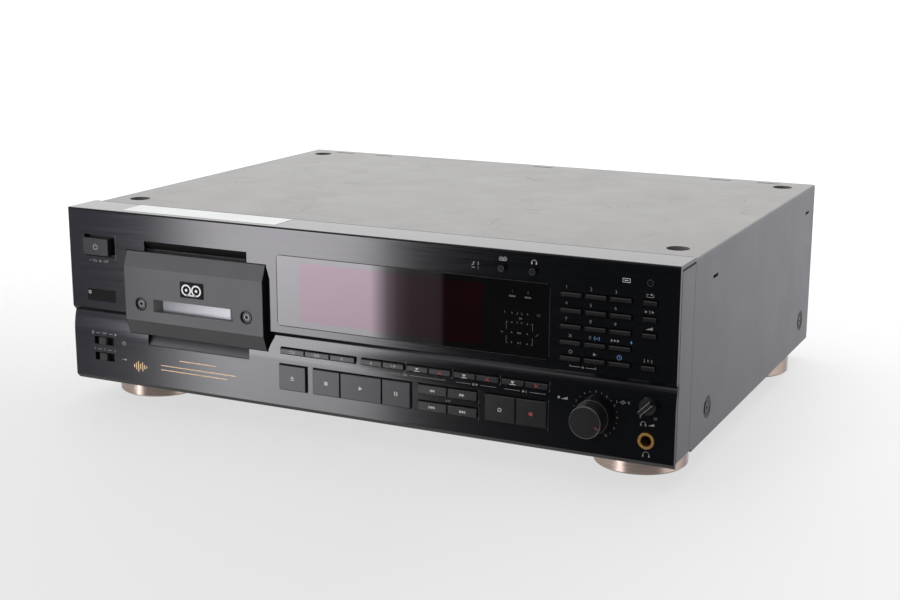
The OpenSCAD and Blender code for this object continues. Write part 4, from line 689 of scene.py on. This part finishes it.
tube = {"low": (-33.0, 60.4), "high": (94.3, 98.5), "lamps": (112.8, 122.8), "barZ": 92.5, "bar": (4.0, 1.0),
        "lampZ": (82.4, 76.5, 70.4, 64.3), "lampRadius": 0.45, "middle": 117.6,
        "brackets": (  # line width, and corners to each side of the middle
            (0.22, (1.2, 83.2), (1.2, 81.8), (2.2, 81.8)), (0.22, (2.2, 77.0), (1.2, 77.0), (1.2, 76.0)),
            (0.24, (7.4, 76.7), (8.4, 76.7), (8.4, 72.4)), (0.24, (7.4, 63.9), (8.4, 63.9), (8.4, 68.2)))}


def windowMarks():  # the filter and the legends that show through the smoked window, and its lamps
    pane, ink, lamps = Print(), Print(), Print()
    pane.area(frameLine(tube["low"], tube["high"]))
    pane.onto("indicatorShade", "deck", filterRed, "smoked_window", 0.0)
    each(ink.figure, ("1", 112.8, 95.4, 2.2), ("2", 122.8, 95.4, 2.2), ("A", 108.0, 82.4, 2.0),
         ("123", 129.6, 82.4, 2.0))
    each(ink.dash, (117.6, 79.4, 0.3, 1.6), (118.4, 64.3, 0.3, 1.5))
    each(ink.arrow, (118.9, 79.4, 1.4), (117.0, 70.4, 1.3), (118.4, 70.4, 1.3), (117.2, 64.3, 1.3))
    for way in (-1, 1):
        for width, *ends in tube["brackets"]:
            ink.line([(tube["middle"] + way * x, z) for x, z in ends], width)
    each(ink.line, ([(105.4, 70.3), (107.4, 70.3)], 0.26), ([(128.2, 69.6), (129.8, 71.2)], 0.26))
    ink.area([(106.4, 69.4), (107.0, 70.6), (105.8, 70.6)])
    for x in tube["lamps"]:
        lamps.dash(x, tube["barZ"], *tube["bar"])
        for z in tube["lampZ"]:
            lamps.disc(x - 0.1, z, tube["lampRadius"], 14)
    ink.onto("windowLegends", "deck", inks["window"], "smoked_window", 0.0)
    lamps.onto("windowLamps", "deck", lampGlass, "smoked_window", 0.0)


# signs on the keys, each drawn about the key's middle

def eject(ink, x, z):
    ink.area([(x - 1.5, z - 0.2), (x + 1.5, z - 0.2), (x, z + 1.6)])
    ink.dash(x, z - 1.05, 3.0, 0.6)


def pause(ink, x, z):
    each(ink.dash, (x - 0.75, z, 0.7, 2.8), (x + 0.75, z, 0.7, 2.8))


def double(way, barred=False):  # two arrows, with a bar for a skip
    def draw(ink, x, z):
        each(ink.arrow, (x - 0.85, z, 1.7, way), (x + 0.85, z, 1.7, way))
        if barred:
            ink.dash(x + way * 2.05, z, 0.45, 1.9)
    return draw


def power(ink, x, z):
    ink.arc(x, z, 1.7, 0.4, 125, 415, 24)
    ink.dash(x, z + 1.3, 0.4, 2.0)


def write(ink, x, z):
    ink.area([(x - 1.3, z + 1.0), (x, z - 0.5), (x + 1.3, z + 1.0)])
    ink.dash(x, z - 1.0, 3.6, 0.4)


def erase(ink, x, z):
    for a, b in ((-1, -1), (-1, 1), (1, -1), (1, 1)):
        ink.line([(x + 0.25 * a, z + 0.25 * b), (x + 1.15 * a, z + 1.15 * b)], 0.46)
    ink.dash(x, z, 0.5, 0.5)


def number(words):
    return lambda ink, x, z: ink.figure(words, x, z, 2.8, 0.0)


keySigns = {"open_close_key": eject, "stop_key": lambda ink, x, z: ink.dash(x, z, 2.5, 2.5),
            "play_key": lambda ink, x, z: ink.arrow(x, z, 2.6), "pause_key": pause, "rewind_key": double(-1),
            "forward_key": double(1), "previous_key": double(-1, True), "next_key": double(1, True),
            "record_mute_key": lambda ink, x, z: ink.arc(x, z - 0.5, 1.05, 0.4),
            "record_key": lambda ink, x, z: ink.disc(x, z - 0.2, 1.3, 28), "power_button": power,
            "counter_mode_key": number("123"), "counter_reset_key": number("000"),
            "counter_memory_key": number("0"), "auto_mark_key": number("A"), "renumber_key": number("1-9")}
keyLamps = {"play_key": (0.9, 27.6), "pause_key": (30.7, 27.2), "record_key": (120.3, 27.0)}


def keyMarks():  # one sign for each key, moving with it
    def put(node, draw, ink="sign"):
        low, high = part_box(node)
        shape = Print()
        draw(shape, (low.x + high.x) * 500, ((low.z + high.z) / 2 - panel["lowZ"]) * 1000)
        shape.onto(node + "_sign", node, inks[ink], "key_plastic", faceDepth(node))

    for node, draw in keySigns.items():
        put(node, draw, "dot" if node == "record_key" else "sign")
    for node, (x, z) in keyLamps.items():  # small lamps
        lamp = Print()
        lamp.disc(x, z, 0.55, 16)
        lamp.onto(node + "_lamp", node, lampDark, "key_plastic", faceDepth(node))
    for node in roundButtons:  # painted highlight: a faint pale ring on each round button's face
        put(node, lambda ink, x, z: ink.arc(x, z, 1.85, 0.22, 0, 360, 32), "faint")
    for group in ("start", "skip", "end"):
        put(group + "_write_key", write)
        put(group + "_erase_key", erase, "dot")


rear = {"y": 328.5, "arrowZ": 98.8, "screws": 5, "screwX": -200.0, "screwGap": 100.0,
        "screwZ": {"low": 9.0, "high": 110.0}, "screwRadius": 3.1, "screwProud": 1.2,
        "slots": {"Across": (3.6, 0.1, 0.8), "Upright": (0.8, 0.1, 3.6)}}


def rearMarks():  # drawn as seen from behind, x to the right
    ink = Print()
    for x, half, low in ((-120.0, 17.5, 53.0), (-40.0, 16.0, 58.0)):
        ink.line(frameLine((x - half, low), (x + half, 94.0)), 0.4, True)
        each(ink.figure, ("1", x - 7.0, 89.4, 3.4), ("2", x + 7.0, 89.4, 3.4))
    each(ink.figure, ("L", -134.3, 77.0, 3.4), ("R", -134.3, 63.0, 3.4))
    for x, way in ((-127.0, 1), (-113.0, -1), (-47.0, 1), (-33.0, -1)):  # in and out
        tail, neck, tip = (rear["arrowZ"] + way * part for part in (-2.0, 0.6, 2.4))
        ink.line([(x, tail), (x, neck)], 0.5)
        ink.area([(x - 1.2, neck), (x + 1.2, neck), (x, tip)])
    ink.line([(166.0, 87.0), (167.7, 88.6), (170.0, 85.4), (172.3, 88.6), (174.0, 87.0)], 0.5)
    ink.onto("rearMarks", "deck", inks["dim"], "rear_steel", rear["y"], True)


panelMarks()
rearMarks()
dialMarks()
windowMarks()
keyMarks()
print("marks: printed")


# small solid trim

def blockMesh(name, blocks, finish, body):  # boxes given by low and high corners in panel millimetres
    shape = bmesh.new()
    for low, high in blocks:
        a, b = onPanel(*low), onPanel(*high)
        for v in bmesh.ops.create_cube(shape, size=1.0)["verts"]:
            v.co = (a + b) / 2 + v.co * (b - a)
    return addPiece(name, meshFrom(shape, name), body, finish)


plaque = {"low": (-121.8, -5.3, 68.0), "high": (-103.8, -4.5, 78.5), "edge": 0.3, "sign": 14.4,
          "line": 1.0}


def drawerPlaque():  # raised plate on the drawer, with a plain tape sign
    raised = blockMesh("drawerPlaque", [(plaque["low"], plaque["high"])], plaqueBlackAndSeamShade, "drawer")
    soft = raised.modifiers.new("edge", "BEVEL")
    soft.width, soft.segments = plaque["edge"] / 1000, 2
    x, _, z = ((a + b) / 2 for a, b in zip(plaque["low"], plaque["high"]))
    sign = Print()
    reels(sign, x, z, plaque["sign"], plaque["line"])
    sign.onto("plaqueSign", "drawer", inks["white"], "drawer_plastic", plaque["low"][1])


plate = {"low": (-80.0, rear["y"], 24.0), "high": (-10.0, rear["y"] + 0.3, 46.0)}
label = {"low": (-174.0, 5.0, 120.0), "high": (-54.0, 27.0, 120.12)}
blockMesh("rearPlate", [(plate["low"], plate["high"])], plateTin, "deck")
blockMesh("blankLabel", [(label["low"], label["high"])], paper, "deck")
drawerPlaque()


# repeated pieces by geometry nodes

def copyTree(name, sizes, shape, turn=0.0):  # equal shapes in a row
    tree, given, out = newGroup(name, [
        ("Count", "Int", 1), ("Start", "Vector", (0, 0, 0)), ("Step", "Vector", (0, 0, 0)), *sizes,
        ("Finish", "Material")], [("Geometry", "Geometry")], "GeometryNodeTree")
    line = add(tree, "GeometryNodeMeshLine", {"Count": given["Count"], "Start Location": given["Start"],
                                              "Offset": given["Step"]})
    copies = add(tree, "GeometryNodeInstanceOnPoints", {
        "Points": line.outputs[0], "Instance": shape(tree, given), "Rotation": Euler((turn, 0, 0))})
    real = add(tree, "GeometryNodeRealizeInstances", {0: copies.outputs[0]})
    coloured = add(tree, "GeometryNodeSetMaterial", {
        "Geometry": real.outputs[0], "Material": given["Finish"]})
    tree.links.new(coloured.outputs[0], out[0])
    return tree


def block(tree, given):
    return add(tree, "GeometryNodeMeshCube", {"Size": given["Size"]}).outputs[0]


def hoop(tree, given):  # a thin round bar bent to a ring
    ring, bar = (add(tree, "GeometryNodeCurvePrimitiveCircle", {
        "Resolution": steps, "Radius": given[size]}).outputs[0]
        for steps, size in ((36, "Radius"), (10, "Bar")))
    return add(tree, "GeometryNodeCurveToMesh", {"Curve": ring, "Profile Curve": bar}).outputs[0]


def head(tree, given):  # a round screw head, narrower at its top
    top = times(tree, given["Radius"], 0.82)
    return add(tree, "GeometryNodeMeshCone", {
        "Vertices": 28, "Radius Top": top, "Radius Bottom": given["Radius"],
        "Depth": given["Proud"]}).outputs[0]


row = copyTree("blockRow", [("Size", "Vector", (0.001, 0.001, 0.001))], block)
collar = copyTree("collarColumn", [("Radius", "Float", 0.005), ("Bar", "Float", 0.0006)], hoop, math.pi / 2)
heads = copyTree("headRow", [("Radius", "Float", 0.003), ("Proud", "Float", 0.0012)], head, -math.pi / 2)


def grow(tree, name, body, slot, finish, start, count=1, **sizes):  # places and sizes in panel millimetres
    values = {key: metres(size) for key, size in sizes.items()}
    values.update(count=count, start=onPanel(*start), finish=finish)
    holder = newObject(name + "Seed", bpy.data.meshes.new(name + "Seed"))
    made = holder.modifiers.new("grow", "NODES")
    made.node_group = tree
    for item in tree.interface.items_tree:
        if item.in_out == "INPUT" and item.name.lower() in values:
            made[item.identifier] = values[item.name.lower()]
    mesh = takeMesh(holder)
    mesh.name = name
    return addPiece(name, mesh, body)


ribs = {"x": -190.2, "count": 4, "pitch": 1.2, "ahead": 0.1, "size": (0.5, 0.4, 4.4),
        "z": {"timer_switch": 29.1, "input_switch": 17.9}}
for node, z in ribs["z"].items():  # grip ribs
    first = ribs["x"] - ribs["pitch"] * (ribs["count"] - 1) / 2
    grow(row, node + "_ribs", node, "slider_plastic", slots["slider_plastic"],
         (first, faceDepth(node) - ribs["ahead"], z), ribs["count"], step=(ribs["pitch"], 0, 0),
         size=ribs["size"])

edgeHighlights = {"bar": 0.1, "rings": {"record_level_knob": (9.5, 0.4), "record_level_ring": (10.35, 0.05)}}
for node, (radius, deep) in edgeHighlights["rings"].items():  # painted highlights: bright rings on the turned edges of the level controls
    grow(collar, node + "_edge", node, "knob_plastic", highlightTrimMetal,
         (dial["x"], faceDepth(node) + deep, dial["z"]), radius=radius, bar=edgeHighlights["bar"])

lipHighlights = {"off": 0.5, "wide": 0.2, "foot": 0.3, "bend": 0.2, "keys": (
    "counter_memory_key", "renumber_key", "start_erase_key", "skip_erase_key", "end_erase_key",
    "open_close_key", "pause_key", "forward_key", "next_key", "record_key", "power_button")}
edge = Print()
for node in lipHighlights["keys"]:  # painted highlight: a bright line on the right lip of each opening
    low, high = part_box(node)
    x = high.x * 1000 + lipHighlights["off"]
    lowZ, highZ = ((z - panel["lowZ"]) * 1000 for z in (low.z, high.z))
    edge.line([(x - lipHighlights["foot"], lowZ - lipHighlights["foot"]), (x, lowZ + lipHighlights["bend"]), (x, highZ)], lipHighlights["wide"])
edge.onto("openingLipHighlights", "deck", highlightTrimMetal, "black_panel")

pointers = {"record_level_knob": (-20.0, 6.2, 9.0, 0.5), "record_level_ring": (-28.0, 9.95, 10.45, 0.8)}
for node, (turn, near, far, wide) in pointers.items():  # red lines at about four o'clock
    across, up = math.cos(math.radians(turn)), math.sin(math.radians(turn))
    line = Print()
    line.line([(dial["x"] + r * across, dial["z"] + r * up) for r in (near, far)], wide)
    line.onto(node + "_line", node, inks["dot"], "knob_plastic", faceDepth(node))

rims = {"key": 1.7, "keyLine": 0.4, "keyY": -3.7, "shapes": (  # name, radius, depth, bar and finish
    ("SeatShadeRim", 4.1, -4.4, 0.35, buttonBlackAndSeatShade), ("HeadHighlightRim", 3.1, -3.7, 0.09, highlightTrimMetal))}
for name, (x, z) in drawerBolts.items():  # painted shade and highlights on the drawer's bolts: black rings in their seats, bright rings on their heads' edges and a bright six-sided line round each key
    for shape, radius, y, bar, finish in rims["shapes"]:
        grow(collar, name + shape, "drawer", "bolt_steel", finish, (x, y, z), radius=radius, bar=bar)
    boltKeyLine = Print()
    boltKeyLine.arc(x, z, rims["key"], rims["keyLine"], 0, 360, 6)
    boltKeyLine.onto(name + "BoltKeyHighlight", "drawer", keyHighlightMetal, "bolt_steel", rims["keyY"])

seamShades = {"sides": (((213.0, 3.6, 117.15), (214.7, 28.7, 117.55)), ((213.0, 3.08, 52.0), (214.7, 3.42, 117.0)),
                   ((213.0, 3.08, 3.4), (214.7, 3.42, 32.6)), ((215.0, 3.2, 116.2), (215.04, 28.7, 117.1)),
                   ((215.0, 3.1, 3.4), (215.04, 3.85, 116.2)), ((215.0, 28.7, 3.4), (215.04, 28.78, 116.2))),
         "roof": ((-213.5, 28.25, 120.0), (213.5, 28.78, 120.03)),
         "front": ((-214.4, -0.03, 118.9), (214.4, 0.01, 119.7))}
mirrored = [((-high[0], *low[1:]), (-low[0], *high[1:])) for low, high in seamShades["sides"]]
blockMesh("coverSeamShades", [*seamShades["sides"], *mirrored, seamShades["roof"], seamShades["front"]], plaqueBlackAndSeamShade, "deck")  # painted shade: black strips in the gaps between the panel and the cover, some standing a little proud to widen them, and a black line along the panel's top edge

for place, z in rear["screwZ"].items():  # rear panel screws, with dark bars on their heads as painted shade for their slots
    count, step = rear["screws"], (rear["screwGap"], 0, 0)
    grow(heads, place + "RearScrews", "deck", "screw_steel", slots["screw_steel"],
         (rear["screwX"], rear["y"], z), count, step=step, radius=rear["screwRadius"],
         proud=rear["screwProud"])
    face = (rear["screwX"], rear["y"] + rear["screwProud"], z)
    for shape, size in rear["slots"].items():
        grow(row, place + "Slots" + shape, "deck", "screw_steel", slots["slider_plastic"], face, count,
             step=step, size=size)

collars = {"left": 113.0, "gap": 14.0, "y": 330.3, "radius": 4.8, "bar": 0.55,
           "rows": {"upperCollars": (77.0, whiteRubber), "lowerCollars": (63.0, redRubber)}}
for name, (z, finish) in collars["rows"].items():  # line sockets
    grow(collar, name, "deck", "socket_plastic", finish, (collars["left"], collars["y"], z), count=2,
         step=(collars["gap"], 0, 0), radius=collars["radius"], bar=collars["bar"])
print("trim: grown")


# camera, floor and light

shot = {"lens": 60.708, "sensor": 36.0, "near": 0.01, "far": 50.0, "place": (0.45903, -0.9577, 0.31223),
        "turn": (math.pi / 2 - 0.2352, -0.00231, 0.45205)}
cameraData = bpy.data.cameras.new("camera")
cameraData.lens, cameraData.sensor_width, cameraData.sensor_fit = shot["lens"], shot["sensor"], "HORIZONTAL"
cameraData.clip_start, cameraData.clip_end = shot["near"], shot["far"]
camera = newObject("camera", cameraData)
camera.location, camera.rotation_euler = shot["place"], shot["turn"]
scene.camera = camera

floorLook = {"reach": 12.0, "shift": (0.1, 0.35, 0.0), "near": 0.2, "far": 1.4, "glow": 0.65,
             "dark": rgb(0.07, 0.07, 0.069), "pale": rgb(0.36)}


def makeFloor():  # pale ground, darker under the deck
    far, mesh = floorLook["reach"], bpy.data.meshes.new("floor")
    mesh.from_pydata([(-far, -far, 0), (far, -far, 0), (far, far, 0), (-far, far, 0)], [], [(0, 1, 2, 3)])
    material, tree, shader = newMaterial("paleFloor", roughness=0.7, glowColour=rgb(1.0),
                                         glow=floorLook["glow"])
    away = lengthOf(tree, vector2(tree, "ADD", objectPlace(tree), floorLook["shift"]))
    pale = spread(tree, away, floorLook["near"], floorLook["far"])
    tone = mixColour(tree, pale, floorLook["dark"], floorLook["pale"])
    tree.links.new(tone, shader.inputs["Base Color"])
    mesh.materials.append(material)
    floor = newObject("floor", mesh)
    floor.visible_glossy = False  # gloss takes its reflections from the studio round the floor


# the studio round the object: azimuth in degrees left of the front, brightness there, and any tint
plain, cool, bluish = (1.0, 1.0, 1.0), (1.01, 0.985, 1.035), (0.97, 0.98, 1.2)
studio = {
    "around": [(-180, 1.4), (-152, 0.66, bluish), (-105, 0.58, bluish), (-82, 0.08), (-30, 0.025),
               (26.1, 0.025), (26.25, 0.4), (27.4, 0.5), (27.9, 0.9), (28.3, 2.1, cool), (28.6, 4.9, cool),
               (28.95, 9.0, cool), (34.9, 9.0, cool), (37.2, 0.55, bluish), (80, 0.5, bluish), (105, 1.2),
               (152, 1.5), (180, 1.4)],
    "close": [(15.0, 0.0), (21.7, 0.05), (25.1, 0.17), (26.7, 0.2), (28.4, 0.0), (32.5, 0.0), (34.0, 0.7),
              (36.6, 1.0), (38.0, 0.5), (40.2, 0.22), (44.0, 0.0)],  # the ground close to the front
    "steep": (-0.345, -0.325),  # slopes between which the close ground begins
    "fade": ((-0.33, -0.2, 0.5), (-0.75, -0.45, 0.3)),  # darker towards the ground
    "ground": [(-138.0, -108.0, 0.8), (-108.0, -72.0, 1.1), (-72.0, 8.0, 0.15), (48.0, 140.0, 0.42)],
    "groundTint": (1.0, 0.98, 0.96), "groundSoft": 4.0, "horizon": (-0.1, -0.02),
    "overhead": 1.1, "zenith": (0.55, 0.85),
    "strip": {"level": 0.9, "low": 0.27, "high": 0.37, "soft": 0.02, "endSoft": 0.3,  # lamps above the front
              "spans": ((5.0, 18.1), (19.6, 29.0))}}


def ringLight(tree, degrees, stops):  # brightness by azimuth
    tones = [rgb(*(level * part for part in (tint[0] if tint else plain))) for _, level, *tint in stops]
    light = tones[0]
    for (start, *_), (end, *_), tone in zip(stops, stops[1:], tones[1:]):
        light = mixColour(tree, spread(tree, degrees, start, end), light, tone)
    return light


def makeStudio():
    world = bpy.data.worlds.new("studio")
    scene.world = world
    world.use_nodes = True
    tree = world.node_tree
    tree.nodes.clear()
    way = add(tree, "ShaderNodeTexCoord").outputs["Generated"]
    axes = add(tree, "ShaderNodeSeparateXYZ", {0: way}).outputs
    up, left, ahead = axes["Z"], times(tree, axes["X"], -1.0), times(tree, axes["Y"], -1.0)
    degrees = times(tree, math2(tree, "ARCTAN2", left, ahead), 360 / math.tau)
    fade = 1.0
    for low, high, least in studio["fade"]:
        fade = times(tree, fade, spread(tree, up, low, high, least, 1.0))
    light = mixColour(tree, 1.0, ringLight(tree, degrees, studio["around"]), fade, "MULTIPLY")
    steep = spread(tree, math2(tree, "DIVIDE", up, ahead), *studio["steep"], 1.0, 0.0)
    light = mixColour(tree, steep, light, ringLight(tree, degrees, studio["close"]), "ADD")
    below = spread(tree, up, *studio["horizon"], 1.0, 0.0)
    for start, end, level in studio["ground"]:
        where = times(tree, below, between(tree, degrees, start, end, studio["groundSoft"]))
        light = mixColour(tree, where, light, rgb(*(level * part for part in studio["groundTint"])))
    strip = studio["strip"]
    height = between(tree, up, strip["low"], strip["high"], strip["soft"])
    for start, end in strip["spans"]:
        lamp = times(tree, height, between(tree, degrees, start, end, strip["endSoft"]))
        light = mixColour(tree, lamp, light, rgb(strip["level"]))
    seen = mixColour(tree, spread(tree, up, *studio["zenith"]), light, rgb(studio["overhead"]))
    path = add(tree, "ShaderNodeLightPath")
    shown = mixColour(tree, path.outputs["Is Camera Ray"], seen, rgb(1.0))
    back = add(tree, "ShaderNodeBackground", {"Color": shown, "Strength": 1.0})
    add(tree, "ShaderNodeOutputWorld", {"Surface": back.outputs[0]})


def softBox(name, place, aim, size, power):
    data = bpy.data.lights.new(name, "AREA")
    data.shape, data.size, data.energy = "DISK", size, power
    lamp = newObject(name, data)
    lamp.location = place
    lamp.rotation_euler = (Vector(aim) - Vector(place)).to_track_quat("-Z", "Y").to_euler()
    lamp.visible_glossy = False


softBoxes = {"overheadBox": ((-0.2, 0.3, 1.8), (0, 0, 0.1), 1.6, 24.0),  # place, aim, size and power
             "frontFill": ((0.3, -1.6, 0.5), (0, -0.2, 0.0), 1.4, 6.0)}
makeFloor()
makeStudio()
for name, box in softBoxes.items():
    softBox(name, *box)
scene.view_settings.view_transform = "Standard"
print("studio: set")
